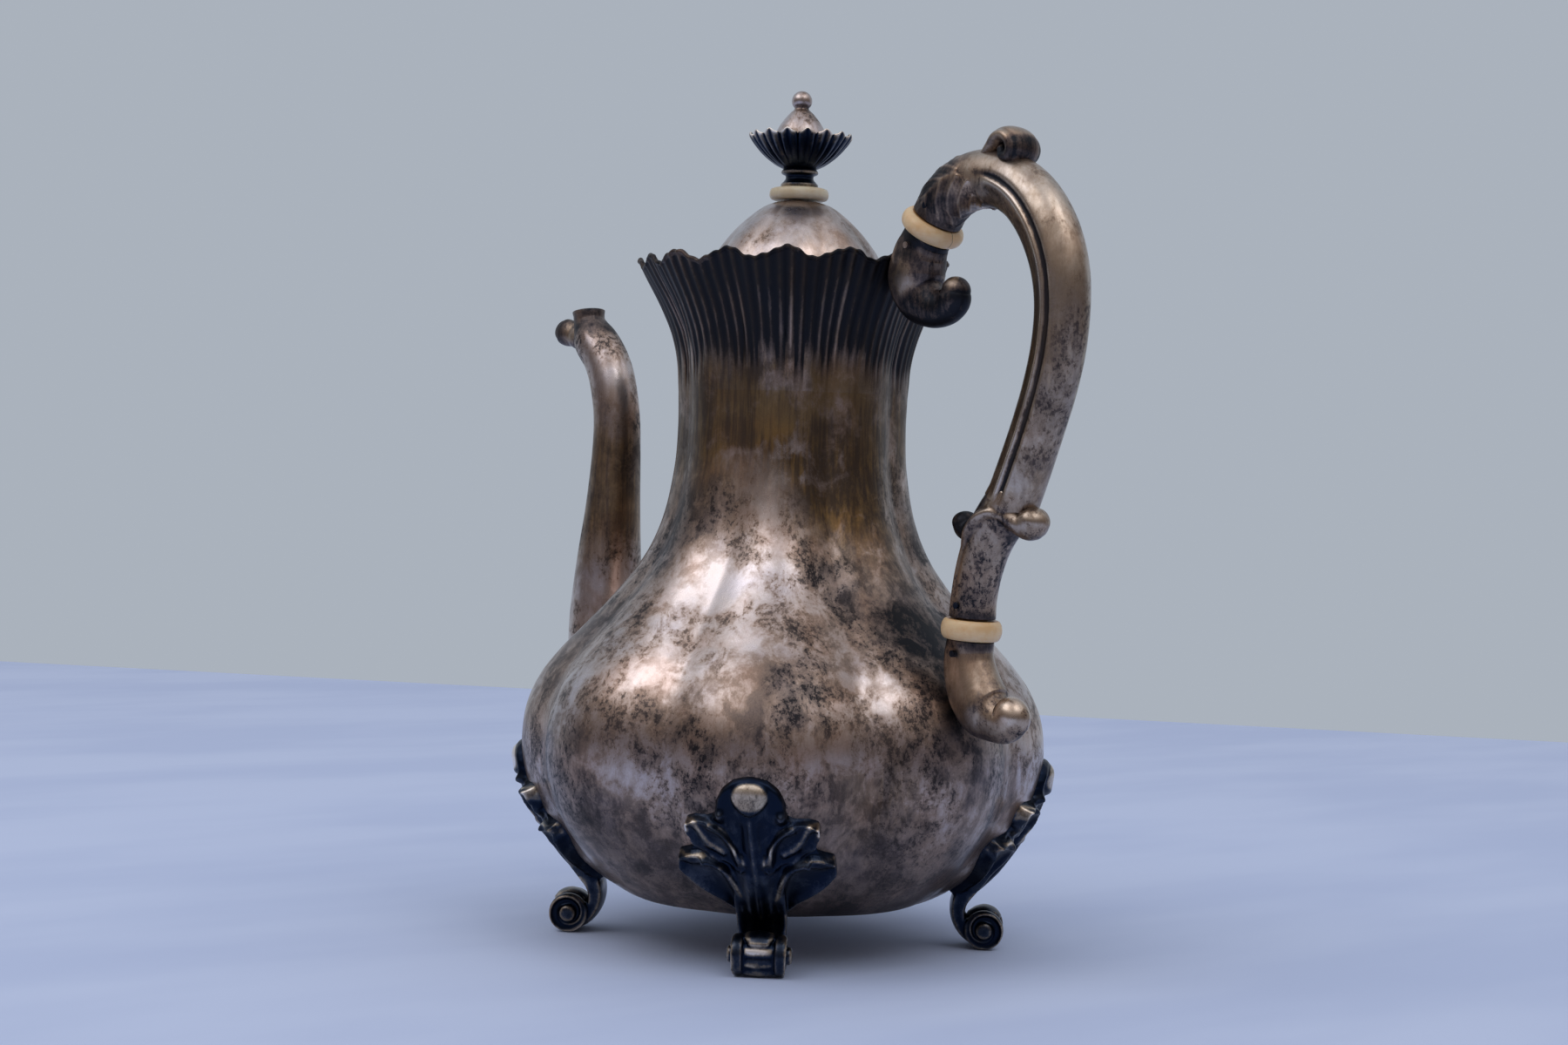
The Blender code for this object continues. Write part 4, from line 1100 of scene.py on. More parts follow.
@dataclass
class BentRod:
    """A rod of oval section along a line in the XZ plane.

    Angle 0 of its section is the inner side of the bend's start, and 90 degrees is +Y.
    """

    name: str
    line: Points  # x, z and half width in millimetres
    stations: int = 120
    columns: int = 64
    depth_ratio: float = 1.0
    width_ratio: float = 1.0
    round_start: bool = False
    round_end: bool = False
    shape: Optional[Shape] = None  # extra height over the skin, in millimetres, from (share along, angle)

    def frames(self) -> tuple[np.ndarray, np.ndarray, np.ndarray]:
        """Centres, in-plane normals and half widths down the line, with rounded ends closed to a point."""
        path = curve_through(self.line, self.stations)
        along = np.gradient(path[:, :2], axis=0)
        along /= np.linalg.norm(along, axis=1)[:, None]
        normal = np.stack([along[:, 1], -along[:, 0]], axis=1)
        centre, half = path[:, :2], path[:, 2].copy()
        for rounded, end, way in ((self.round_start, 0, -1), (self.round_end, -1, 1)):
            turns = np.linspace(12, 90, 9) if rounded else np.array([90.0, 90.0])
            sweep = np.radians(turns)
            reach = half[end] * 0.9 * (np.sin(sweep) if rounded else np.array([0.0, 0.0]))
            tips = centre[end] + way * along[end] * reach[:, None]
            sizes = np.maximum(half[end] * np.cos(sweep), 1e-4)
            normals = np.repeat(normal[end][None], len(turns), axis=0)
            if end == 0:
                centre, half, normal = (
                    np.vstack([tips[::-1], centre]), np.concatenate([sizes[::-1], half]),
                    np.vstack([normals, normal]),
                )
            else:
                centre, half, normal = (
                    np.vstack([centre, tips]), np.concatenate([half, sizes]), np.vstack([normal, normals]),
                )
        return centre, normal, half

    def points(self) -> np.ndarray:
        """Points of the skin, (rows, columns, 3) in metres."""
        centre, normal, half = self.frames()
        angle = np.linspace(0, TURN, self.columns, endpoint=False)[None, :]
        share = np.linspace(0, 1, len(half))[:, None]
        extra = self.shape(share, angle) if self.shape else 0.0
        body = half[:, None] + extra * smooth_step(half[:, None], 0.2, 1.5)
        inward = body * self.depth_ratio * np.cos(angle)
        aside = body * self.width_ratio * np.sin(angle)
        x = centre[:, :1] + normal[:, :1] * inward
        z = centre[:, 1:] + normal[:, 1:] * inward
        return np.stack([x, aside, z], axis=-1) * MM

    def build(self) -> bpy.types.Object:
        """The rod as a closed skin."""
        points = self.points()
        rows, columns = points.shape[:2]
        angle = np.linspace(0, TURN, columns, endpoint=False)[None, :]
        side = np.repeat(np.abs(nearest_turn(angle)), rows, axis=0)
        along = np.repeat(np.linspace(0, 1, rows)[:, None], columns, axis=1)
        return rolled_skin(self.name, points, {"side": side, "along": along})


def sink(obj: bpy.types.Object, vessel: Vessel, depth: float = 0.45) -> None:
    """Pulls what lies inside the vessel out to just under its outside, where the piece is soldered on.

    Args:
        obj: The piece.
        vessel: The vessel.
        depth: How far under the outside, in millimetres.
    """
    points = mesh_points(obj) / MM
    angle = np.arctan2(points[:, 1], points[:, 0])
    skin = vessel.surface(angle, np.clip(points[:, 2], 13.3, 208.0)) - depth
    radius = np.hypot(points[:, 0], points[:, 1])
    grown = np.where(points[:, 2] < 208.0, np.maximum(radius, skin), radius) / np.maximum(radius, 1e-6)
    points[:, :2] *= grown[:, None]
    set_points(obj, points * MM)


@dataclass
class Spout:
    """The S spout with its thin mouth, open bore and curled lip scroll."""

    line: Points = field(default_factory=lambda: [
        (-107.4, 196.8, 5.3), (-106.6, 193.2, 5.5), (-103.2, 187.6, 7.4), (-96.9, 181.0, 7.6),
        (-92.6, 172.9, 7.7), (-89.8, 161.1, 7.8), (-89.5, 148.2, 8.2), (-90.4, 131.1, 9.2),
        (-91.6, 114.5, 10.7), (-92.3, 100.7, 11.8), (-92.2, 90.0, 12.6), (-89.6, 78.5, 13.8),
        (-84.0, 68.5, 15.2), (-76.0, 61.5, 16.6), (-69.0, 58.0, 17.4),
    ])
    lip: Points = field(default_factory=lambda: [
        (-103.2, 186.6, 2.6), (-107.2, 187.5, 3.6), (-111.0, 188.3, 4.1), (-115.0, 189.4, 4.2),
        (-118.2, 190.2, 4.6), (-120.2, 190.7, 4.5), (-121.0, 190.9, 3.8),
    ])
    wall: float = 1.1

    def tube(self, vessel: Vessel) -> bpy.types.Object:
        """Bends the tube: down its outside from the rolled mouth, and back up its bore.

        Args:
            vessel: What it is soldered to.

        Returns:
            The tube.
        """
        outer = BentRod("spout", self.line, 150, 72)
        path = curve_through(self.line, 150)
        along = np.gradient(path[:, :2], axis=0)
        along /= np.linalg.norm(along, axis=1)[:, None]
        normal = np.stack([along[:, 1], -along[:, 0]], axis=1)
        angle = np.linspace(0, TURN, outer.columns, endpoint=False)[None, :]
        rings = []

        def ring(centre: np.ndarray, across: np.ndarray, half: float) -> np.ndarray:
            """One ring of the skin."""
            inward = half * np.cos(angle[0])
            return np.stack([
                centre[0] + across[0] * inward, half * np.sin(angle[0]), centre[1] + across[1] * inward,
            ], axis=-1) * MM

        for turn in np.radians(np.linspace(180, 20, 9)):
            rings.append(ring(
                path[0, :2] - along[0] * (0.25 + 0.62 * math.sin(turn)), normal[0],
                path[0, 2] - 0.45 + 0.78 * math.cos(turn),
            ))
        mouth = len(rings)
        for i in range(1, 150):
            rings.append(ring(path[i, :2], normal[i], path[i, 2]))
        for i in range(149, 0, -5):
            rings.append(ring(path[i, :2], normal[i], path[i, 2] - self.wall))
        rings.append(rings[0])
        points = np.array(rings)
        height = points[:, :, 2] / MM
        inner = np.zeros_like(height)
        inner[mouth + 149:-1] = 1
        inner[:3] = 1
        cosine = np.cos(angle)
        outside = 1 - inner
        lip_zone = smooth_step(height, 176, 190) * (1 - inner)
        layers = {
            "wear_and_highlight": outside * (
                0.45 * bell(height, 178, 8) * smooth_step(cosine, 0.5, -0.6) + 0.30 * bell(height, 166, 9)
                + 0.55 * bell(height, 92, 12)
            ),
            "oxide_and_shade": (
                0.75 * inner + 0.75 * lip_zone * smooth_step(height, 187, 192)
                + 0.34 * bell(height, 150, 14) + 0.22 * smooth_step(cosine, 0.45, 0.95) * outside
            ),
            "gilt": outside * 0.75 * smooth_step(height, 104, 128) * smooth_step(height, 166, 150),
        }
        made = rolled_skin("s_spout", points, layers)
        sink(made, vessel)
        smooth_shade(made, 55)
        return dress(made, SPOUT_SILVER, Body.POT, Slot.SILVER, "spout_throat", "spout_tube")

    def scroll(self) -> bpy.types.Object:
        """Casts the lip scroll: a leaf that leaves the tube and ends in a rounded, fluted curl."""

        def flare(share: np.ndarray, angle: np.ndarray) -> np.ndarray:
            """A soft neck behind the curl."""
            fluted = 0.12 * np.cos(3 * angle) * smooth_step(share, 0.35, 0.75)
            return -0.35 * bell(share, 0.62, 0.05) + fluted

        made = BentRod("lip_scroll", self.lip, 90, 48, 1.0, 0.86, True, True, flare).build()
        smooth_shade(made, 60)
        paint_relief(made, 4, 0.5 * MM)
        x = mesh_points(made)[:, 0] / MM
        paint(made, "oxide_and_shade", 0.72 - 0.25 * bell(x, -113, 2.5))
        return dress(made, HANDLE_SILVER, Body.POT, Slot.SILVER, "spout_lip_scroll")


@dataclass
class Handle:
    """The scroll handle with its thumb leaf, curls, ivory rings and soldered sockets."""

    grip_line: Points = field(default_factory=lambda: [
        (61.50, 219.02, 7.4), (63.29, 221.68, 7.5), (66.8, 225.2, 7.7), (72.4, 228.0, 7.8),
        (79.8, 229.2, 7.9), (88.0, 228.0, 8.0), (96.0, 224.2, 8.3), (102.6, 218.0, 8.5),
        (107.7, 210.0, 8.5), (110.9, 201.0, 8.3), (111.9, 191.0, 8.0), (110.9, 180.0, 7.9),
        (108.1, 169.0, 7.8), (104.1, 158.0, 7.7), (99.6, 147.0, 7.8), (95.2, 137.0, 7.9),
    ])
    tail_line: Points = field(default_factory=lambda: [
        (96.9, 140.6, 7.0), (94.9, 136.6, 7.6), (90.2, 131.2, 7.4), (86.2, 125.0, 7.1), (83.2, 117.0, 6.8),
        (81.63, 109.38, 6.7), (81.23, 103.64, 6.8),
    ])
    outer_curl: Points = field(default_factory=lambda: [
        (82.2, 124.0, 2.2), (85.0, 128.4, 3.0), (89.0, 132.2, 3.4), (93.4, 134.0, 3.6), (97.4, 133.4, 3.7),
        (100.6, 131.6, 4.0), (103.0, 130.9, 4.5), (104.0, 132.0, 4.5),
    ])
    inner_curl: Points = field(default_factory=lambda: [
        (91.0, 134.5, 4.4), (87.2, 131.4, 4.2), (83.6, 129.2, 3.6), (80.2, 128.6, 3.3), (77.8, 129.4, 3.6),
        (77.0, 130.8, 3.7),
    ])
    # How much wider than high each curl is, at places along X.
    outer_widths: Points = field(default_factory=lambda: [
        (82, 2.6), (89, 2.4), (94, 2.05), (98, 1.55), (103, 1.0),
    ])
    inner_widths: Points = field(default_factory=lambda: [
        (77, 1.0), (82, 1.3), (88, 1.6), (91, 1.4),
    ])
    upper_socket_line: Points = field(default_factory=lambda: [
        (58.10, 213.98, 7.6), (56.73, 211.94, 7.9), (55.0, 208.0, 8.6), (53.9, 201.9, 9.0),
        (56.0, 196.2, 7.8), (61.2, 192.9, 5.9), (66.6, 192.8, 5.2), (69.6, 195.0, 5.3),
        (70.4, 197.6, 4.6),
    ])
    lower_socket_line: Points = field(default_factory=lambda: [
        (80.78, 97.18, 7.3), (80.50, 93.20, 7.5), (81.2, 88.6, 8.0), (84.0, 82.2, 8.6), (87.8, 77.8, 8.4),
        (91.6, 75.8, 6.9), (95.6, 75.2, 6.2), (98.2, 76.9, 5.8),
    ])
    spigot: tuple[float, float] = (4.4, 6.5)  # half width and length of a ring's two spigots
    thumb_line: Points = field(default_factory=lambda: [
        (77.0, 233.6, 1.5), (81.6, 235.2, 2.1), (85.4, 237.6, 2.7), (88.4, 239.9, 3.1), (91.4, 240.4, 3.3),
        (94.0, 239.0, 3.4), (95.2, 236.4, 3.4), (94.0, 234.2, 3.3), (91.6, 234.6, 3.1), (90.6, 236.2, 2.7),
    ])

    def grip_relief(self, share: np.ndarray, angle: np.ndarray) -> np.ndarray:
        """Fillet and groove along both inner edges, and chased leaf strokes near the ring."""
        side = np.abs(nearest_turn(angle))  # 0 on the inner side, pi on the outer side
        run = smooth_step(share, 0.20, 0.25) * smooth_step(share, 1.0, 0.97)
        fillet = 0.28 * bell(side, math.radians(87), math.radians(4.5))
        groove = -0.75 * bell(side, math.radians(98), math.radians(4.2))
        inside = -0.45 * smooth_step(side, math.radians(82), math.radians(66))
        edge = 0.165 + 0.05 * np.cos(side) + 0.012 * np.cos(9 * side)
        leaf = smooth_step(edge - share, 0.0, 0.006) * smooth_step(share, 0.0, 0.012)
        barbs = np.abs(np.sin(share * 62 + 5.0 * np.abs(side - 1.75))) ** 0.7
        fine = np.abs(np.sin(share * 186 + 15.0 * np.abs(side - 1.75)))
        shaft = 0.25 * bell(side, 1.75, 0.09)
        chased = 0.32 - 0.26 * barbs - 0.08 * fine + shaft
        return run * (fillet + groove + inside) * (1 - leaf) + leaf * chased

    def grip(self) -> bpy.types.Object:
        """Casts the grip."""
        rod = BentRod("scroll_grip", self.grip_line, 420, 128, 1.06, 0.94, shape=self.grip_relief)
        made = rod.build()
        smooth_shade(made, 70)
        side, along = painted(made, "side"), painted(made, "along")
        ends = smooth_step(along, 0.012, 0.03) * smooth_step(along, 0.988, 0.97)
        paint_relief(made, 6, 0.28 * MM, ends)
        points = mesh_points(made) / MM
        near = smooth_step(points[:, 0], 84, 64) * smooth_step(points[:, 2], 200, 215)
        outer = smooth_step(points[:, 0] + (points[:, 2] - 190) * 0.1, 112, 119)
        run = smooth_step(along, 0.17, 0.2) * smooth_step(along, 1.0, 0.97)
        lines = 0.80 * bell(side, math.radians(98), math.radians(5)) + 0.30 * smooth_step(side, 1.42, 1.2)
        paint(made, "oxide_and_shade", 0.85 * near + 0.10 * bell(points[:, 2], 150, 18) + run * lines)
        crown = bell(points[:, 2], 222, 8) * smooth_step(points[:, 0], 86, 96)
        paint(made, "wear_and_highlight", 0.25 * outer + 0.10 * crown)
        paint(made, "gilt", 0.35 * bell(points[:, 2], 165, 30) + 0.6 * run * smooth_step(side, 1.5, 1.3))
        return dress(made, HANDLE_SILVER, Body.POT, Slot.SILVER, "handle_grip")

    def thumb(self) -> bpy.types.Object:
        """Casts the thumb leaf that rolls over on top of the grip."""

        def veins(share: np.ndarray, angle: np.ndarray) -> np.ndarray:
            """One chased line down each edge of the leaf."""
            outer = np.abs(nearest_turn(angle - math.pi))
            return -0.22 * bell(outer, 0.9, 0.12) * smooth_step(share, 0.0, 0.2)

        leaf = BentRod("thumb_leaf_strip", self.thumb_line, 120, 56, 0.85, 1.0, True, True, veins).build()
        points = mesh_points(leaf) / MM
        spread = np.interp(points[:, 0], [74, 80, 88, 96], [1.7, 1.8, 1.95, 1.95])
        points[:, 1] *= spread
        set_points(leaf, points * MM)
        smooth_shade(leaf, 70)
        paint_relief(leaf, 5, 0.55 * MM)
        # Painted shade under the leaf and in the eye of its curl, over a base of oxide, and a painted
        # highlight along its top.
        low = smooth_step(points[:, 2] - 0.5 * (points[:, 0] - 92), 239.5, 236.0)
        inner = smooth_step(np.hypot(points[:, 0] - 91.2, points[:, 2] - 236.8), 3.2, 1.8)
        paint(leaf, "oxide_and_shade", 0.62 * low + 0.5 * inner + 0.38)
        paint(leaf, "wear_and_highlight", 0.45 * smooth_step(points[:, 2], 239, 242.5))
        leaf.name = leaf.data.name = "thumb_leaf"
        return dress(leaf, HANDLE_SILVER, Body.POT, Slot.SILVER, "thumb_scroll")

    def tail(self) -> bpy.types.Object:
        """Casts the tail with its two curled leaf ends."""

        def groove(share: np.ndarray, angle: np.ndarray) -> np.ndarray:
            """Faint fillet that runs on from the grip."""
            side = np.abs(nearest_turn(angle))
            return 0.18 * bell(side, math.radians(60), 0.1) - 0.25 * bell(side, math.radians(73), 0.09)

        def leaf(share: np.ndarray, angle: np.ndarray) -> np.ndarray:
            """Two grooves along a curl."""
            return -0.3 * bell(np.abs(nearest_turn(angle - math.pi)), 0.8, 0.18)

        stem = BentRod("tail_stem", self.tail_line, 120, 96, 1.0, 0.98, shape=groove).build()
        outer = BentRod("tail_outer", self.outer_curl, 80, 48, 1.0, 1.12, True, True, leaf).build()
        inner = BentRod("tail_inner", self.inner_curl, 70, 48, 1.0, 1.12, True, True, leaf).build()
        for curl, widths in ((outer, self.outer_widths), (inner, self.inner_widths)):
            points = mesh_points(curl)
            points[:, 1] *= np.interp(points[:, 0] / MM, *zip(*widths))
            set_points(curl, points)
        made = cast("handle_tail_cast", [stem, outer, inner], 0.3 * MM, 4)
        smooth_shade(made, 80)
        points = mesh_points(made) / MM
        paint_relief(made, 9, 0.5 * MM, smooth_step(points[:, 2], 105.0, 107.0))
        under = bell(points[:, 2], 126.5, 2.4) * smooth_step(points[:, 0], 93, 97)
        inner = smooth_step(points[:, 0], 84, 79.5) * smooth_step(points[:, 2], 124, 127)
        above = smooth_step(points[:, 2] - 0.9 * (points[:, 0] - 90), 134.5, 136.5)
        above = above * smooth_step(points[:, 0], 96, 92)
        joint = smooth_step(points[:, 2], 106.5, 104.0)
        paint(made, "oxide_and_shade", 0.22 + 0.5 * under + 0.35 * inner + 0.6 * above + 0.3 * joint)
        paint(made, "wear_and_highlight", 0.15 * bell(points[:, 2], 115, 8) + 0.45 * smooth_step(points[:, 0], 92, 102))
        return dress(made, HANDLE_SILVER, Body.POT, Slot.SILVER, "handle_tail")

    def ring(self, name: str, node: str, centre: tuple[float, float], tilt: float, radius: float,
             thick: float, belly: float, finish: IvoryFinish) -> bpy.types.Object:
        """Turns one ivory ring with its spigots and sets it at its slant.

        Args:
            name: Name of the piece.
            node: CAD node that it stands for.
            centre: Its middle (x, z) in millimetres.
            tilt: Slant of its axis in degrees.
            radius: Its largest radius.
            thick: Its height.
            belly: How far its side bulges.
            finish: Its ivory.

        Returns:
            The ring.
        """
        half = thick / 2
        turns = np.linspace(0, math.pi, 17)
        side = [(radius - belly + belly * math.sin(a), -half * math.cos(a)) for a in turns]
        peg, reach = self.spigot
        made = spun(name, [(0, -half - reach), (peg, -half - reach), (peg, -half), *side, (peg, half),
                           (peg, half + reach), (0, half + reach)], 96)
        smooth_shade(made, 50)
        paint_relief(made, 2, 0.3 * MM)
        spot = Matrix.Translation((centre[0] * MM, 0, centre[1] * MM))
        place(made, spot @ Matrix.Rotation(math.radians(tilt), 4, "Y"))
        return dress(made, finish, Body.POT, Slot.IVORY, node)

    def socket_relief(self, share: np.ndarray, angle: np.ndarray) -> np.ndarray:
        """Raised edge lines down both sides of a socket, with a hollow front between them."""
        side = np.abs(nearest_turn(angle - math.pi))  # 0 on the outer side
        run = smooth_step(share, 0.03, 0.12) * smooth_step(share, 0.62, 0.44)
        edges = 0.50 * bell(side, math.radians(128), math.radians(7))
        hollow = -0.7 * bell(side, math.radians(92), math.radians(24))
        return run * (edges + hollow)

    def socket(self, name: str, node: str, line: Points, vessel: Vessel, dark: float) -> bpy.types.Object:
        """Casts one socket and solders it to the vessel.

        Args:
            name: Name of the piece.
            node: CAD node that it stands for.
            line: Its middle line.
            vessel: The vessel.
            dark: How much of it is blackened.

        Returns:
            The socket.
        """
        made = BentRod(name, line, 200, 96, 1.0, 0.86, False, True, self.socket_relief).build()
        sink(made, vessel)
        smooth_shade(made, 70)
        side, along = painted(made, "side"), painted(made, "along")
        paint_relief(made, 6, 0.45 * MM, smooth_step(along, 0.04, 0.10))
        # A painted highlight down the hollow front, and painted shade mixed with tarnish on the side toward
        # the pot.
        hollow = bell(side, 1.62, 0.34) * smooth_step(along, 0.16, 0.26) * smooth_step(along, 0.52, 0.44)
        behind = smooth_step(side, 1.05, 0.75)
        joint = smooth_step(along, 0.12, 0.02)
        paint(made, "oxide_and_shade", dark + 0.35 * joint + 0.45 * behind - 0.85 * dark * hollow)
        paint(made, "wear_and_highlight", 0.35 * hollow + 0.5 * (0.5 - dark) * bell(along, 0.9, 0.12))
        return dress(made, HANDLE_SILVER, Body.POT, Slot.SILVER, node)

    def build(self, vessel: Vessel) -> None:
        """Builds the handle's pieces from top to bottom.

        Args:
            vessel: What the sockets are soldered to.
        """
        self.grip()
        self.thumb()
        self.tail()
        self.ring("upper_ivory", "upper_ivory_ring", (59.8, 216.5), 34.0, 9.6, 5.4, 2.3, UPPER_IVORY)
        self.ring("lower_ivory", "lower_ivory_ring", (81.0, 100.4), 4.0, 8.8, 5.8, 1.5, LOWER_IVORY)
        self.socket("upper_scroll_socket", "upper_socket", self.upper_socket_line, vessel, 0.85)
        self.socket("lower_scroll_socket", "lower_socket", self.lower_socket_line, vessel, 0.14)


# ----------------------------------------------------------------------------------------------
# Feet
# ----------------------------------------------------------------------------------------------


@dataclass
class Foot:
    """One cast foot, modelled standing out along +X: palmette, S leg and rolled volute."""

    outline: Points = field(default_factory=lambda: [
        (7.0, 17.5), (8.6, 19.2), (10.6, 21.2), (14.4, 23.8), (19.2, 27.3), (23.2, 31.0), (24.2, 33.6),
        (23.6, 35.8), (20.8, 36.6), (18.4, 37.4), (17.8, 39.2), (19.4, 41.4), (20.2, 43.8), (19.4, 46.0),
        (16.8, 46.8), (13.0, 46.6), (10.2, 47.8), (9.9, 51.4), (8.0, 55.0), (4.6, 57.6), (0.0, 58.5),
    ])
    # Raised lines of one side: points (across, height), height of the line and its half width.
    strokes: list = field(default_factory=lambda: [
        ([(3.4, 36.2), (2.7, 34.4), (3.2, 32.8), (4.4, 33.2), (4.9, 35.4), (5.4, 38.4), (7.0, 41.8),
          (9.3, 43.8), (11.6, 44.4)], 1.35, 0.62),
        ([(8.6, 36.4), (12.0, 38.6), (14.2, 41.3), (15.8, 44.0), (17.6, 45.3), (19.0, 44.8),
          (18.7, 42.2)], 1.0, 0.60),
        ([(4.6, 21.6), (5.6, 23.4), (6.4, 26.0), (7.5, 29.4), (9.2, 32.2), (11.6, 34.0),
          (14.8, 34.6)], 1.4, 0.66),
        ([(14.8, 34.6), (18.6, 34.0), (21.6, 34.8), (23.1, 34.7), (22.8, 32.6)], 0.75, 0.6),
        ([(22.6, 32.4), (18.6, 28.4), (14.0, 24.8), (10.2, 22.0), (8.2, 19.0)], 0.65, 0.7),
        ([(2.2, 31.0), (2.6, 26.0), (2.6, 20.0), (2.4, 15.5)], 0.9, 0.9),
        ([(8.6, 47.6), (8.6, 51.4), (6.8, 54.6), (3.6, 56.6), (0.0, 57.2)], 0.8, 1.3),
    ])
    # Raised dots: across, height, height of the dot and its half width.
    bulbs: Points = field(default_factory=lambda: [
        (8.5, 47.4, 1.7, 1.0), (3.1, 35.4, 0.8, 0.9), (18.9, 43.6, 0.5, 0.9),
    ])
    # Leaves of one side: middle line from root to tip with its half width.
    leaves: list = field(default_factory=lambda: [
        [(4.6, 33.4, 1.2), (7.6, 37.0, 3.4), (11.6, 40.2, 4.2), (15.6, 42.4, 3.8), (19.4, 43.6, 1.8)],
        [(5.8, 20.6, 1.4), (8.6, 25.6, 3.6), (12.6, 29.4, 4.6), (17.4, 32.0, 4.0), (23.0, 33.9, 1.6)],
    ])
    leaf_curl: float = 2.3
    leaf_dish: float = 1.5
    thickness: Points = field(default_factory=lambda: [
        (14.0, 4.6), (20.0, 4.6), (26.0, 4.0), (31.0, 3.0), (37.0, 2.3), (43.0, 1.9), (58.0, 1.6),
    ])
    leg_line: Points = field(default_factory=lambda: [
        (66.5, 27.0, 1.8), (63.0, 22.6, 2.5), (59.2, 18.6, 2.9), (56.6, 14.8, 2.7), (55.9, 10.8, 2.4),
        (57.0, 6.8, 2.2), (59.6, 3.5, 2.0), (63.0, 1.9, 1.85), (66.6, 1.8, 1.8),
    ])
    volute: tuple[float, float] = (64.2, 5.75)
    grain: float = 0.335 * MM

    def near_line(self, across: np.ndarray, height: np.ndarray, line: Points) -> np.ndarray:
        """Distance from each point of the palmette to a bent line, in millimetres."""
        path = curve_through(line, 24)
        found = np.full(across.shape, 1e9)
        for (x0, y0), (x1, y1) in zip(path[:, :2], path[1:, :2]):
            dx, dy = x1 - x0, y1 - y0
            t = np.clip(((across - x0) * dx + (height - y0) * dy) / (dx * dx + dy * dy + 1e-9), 0, 1)
            found = np.minimum(found, np.hypot(across - x0 - t * dx, height - y0 - t * dy))
        return found

    def leaf(self, across: np.ndarray, height: np.ndarray, line: Points) -> np.ndarray:
        """Height of one dished leaf whose tip curls away from the belly.

        Args:
            across: Distance from the foot's middle, in millimetres.
            height: Height on the belly.
            line: Its middle line, with half widths.

        Returns:
            What it adds to the palmette.
        """
        path = curve_through(line, 32)
        best = np.full(across.shape, 1e9)
        along = np.zeros(across.shape)
        wide = np.ones(across.shape)
        for i, (x, z, half) in enumerate(path):
            far = np.hypot(across - x, height - z)
            near = far < best
            best = np.where(near, far, best)
            along = np.where(near, i / 31, along)
            wide = np.where(near, half, wide)
        share = np.clip(best / wide, 0, 1.25)
        inside = smooth_step(share, 1.2, 0.95)
        return inside * (self.leaf_curl * along ** 1.6 + self.leaf_dish * (share ** 2 - 0.55))

    def relief(self, across: np.ndarray, height: np.ndarray) -> np.ndarray:
        """Height of the palmette over the belly; below zero outside its outline."""
        side = np.abs(across)
        half = np.interp(height, [z for _, z in self.outline], [y for y, _ in self.outline])
        edge = self.near_line(side, height, self.outline)
        inside = np.where((side < half) & (height > 17.5) & (height < 58.5), edge, -edge)
        plate = np.interp(height, [z for z, _ in self.thickness], [t for _, t in self.thickness])
        middle = bell(side, 0, 3.4)
        high = 0.7 + plate * (0.28 + 0.62 * middle)
        for line, tall, wide in self.strokes:
            high = high + tall * bell(self.near_line(side, height, line), 0, wide)
        for y, z, tall, wide in self.bulbs:
            high = high + tall * bell(np.hypot(side - y, height - z), 0, wide)
        high = high + 0.75 * bell(side, 0, 0.42) * smooth_step(height, 16, 20) * smooth_step(height, 48, 46)
        for leaf in self.leaves:
            high = high + self.leaf(side, height, leaf)
        cleft = bell(self.near_line(side, height, [(7.6, 32.6), (11.5, 36.0), (17.0, 37.4)]), 0, 1.1)
        furrow = bell(side, 2.9, 0.8) * smooth_step(height, 30, 34) * smooth_step(height, 47, 44)
        high = high - 0.9 * cleft - 0.8 * furrow
        middle_z = 53.2
        point = 3.9 + 1.6 * np.clip(1 - side / 5.4, 0, 1) * (height < middle_z)
        shell = np.clip(1 - (side / 5.5) ** 2 - ((height - middle_z) / point) ** 2, 0, 1)
        lip = 1.1 * bell(height, 48.6, 1.5)
        high = high * (0.5 + 0.5 * smooth_step(height, 58.5, 53.5))
        high = np.maximum(high, (shell > 0) * (1.2 + lip + 2.7 * np.sqrt(shell)))
        return np.where(inside > 0, high * smooth_step(inside, -0.2, 1.0) ** 0.7, -0.5 + 0.0 * high)

    def palmette(self, vessel: Vessel) -> bpy.types.Object:
        """Chases the palmette: a sheet bent to the belly with its relief, and a flat back in the metal."""
        height = np.linspace(16.5, 59.5, 176)[:, None]
        across = np.linspace(-25.0, 25.0, 200)[None, :]
        height, across = np.broadcast_arrays(height, across)
        crown = np.interp(height, [z for _, z in vessel.crown], [r for r, _ in vessel.crown])
        angle = across / crown
        radius = vessel.surface(angle, height)
        above = vessel.surface(angle, height + 0.5) - vessel.surface(angle, height - 0.5)
        lean = np.arctan2(-above, np.ones_like(above))
        rise = self.relief(across, height)
        skins = []
        for lift in (rise, np.full_like(rise, -0.8)):
            out = radius + lift * np.cos(lean)
            skins.append(about_axis(out, angle, height + lift * np.sin(lean)))
        front, back = skins
        return rolled_skin("palmette", np.concatenate([front, back[:, ::-1]], axis=1))

    def leg(self) -> bpy.types.Object:
        """Bends the S leg: a strap with two ribs down its front."""

        def ribs(share: np.ndarray, angle: np.ndarray) -> np.ndarray:
            """Two ribs and a flat back."""
            facing = np.abs(nearest_turn(angle - math.pi))
            return 0.45 * bell(facing, 0.62, 0.16) - 0.35 * bell(facing, 0, 0.22)

        made = BentRod("leg", self.leg_line, 90, 72, 1.0, 3.2, True, True, ribs).build()
        points = mesh_points(made)
        limit = np.interp(points[:, 2] / MM, [0, 6, 14, 24], [5.9, 6.5, 7.2, 7.4]) * MM
        points[:, 1] = np.clip(points[:, 1] * 1.15, -limit, limit)
        set_points(made, points)
        return made

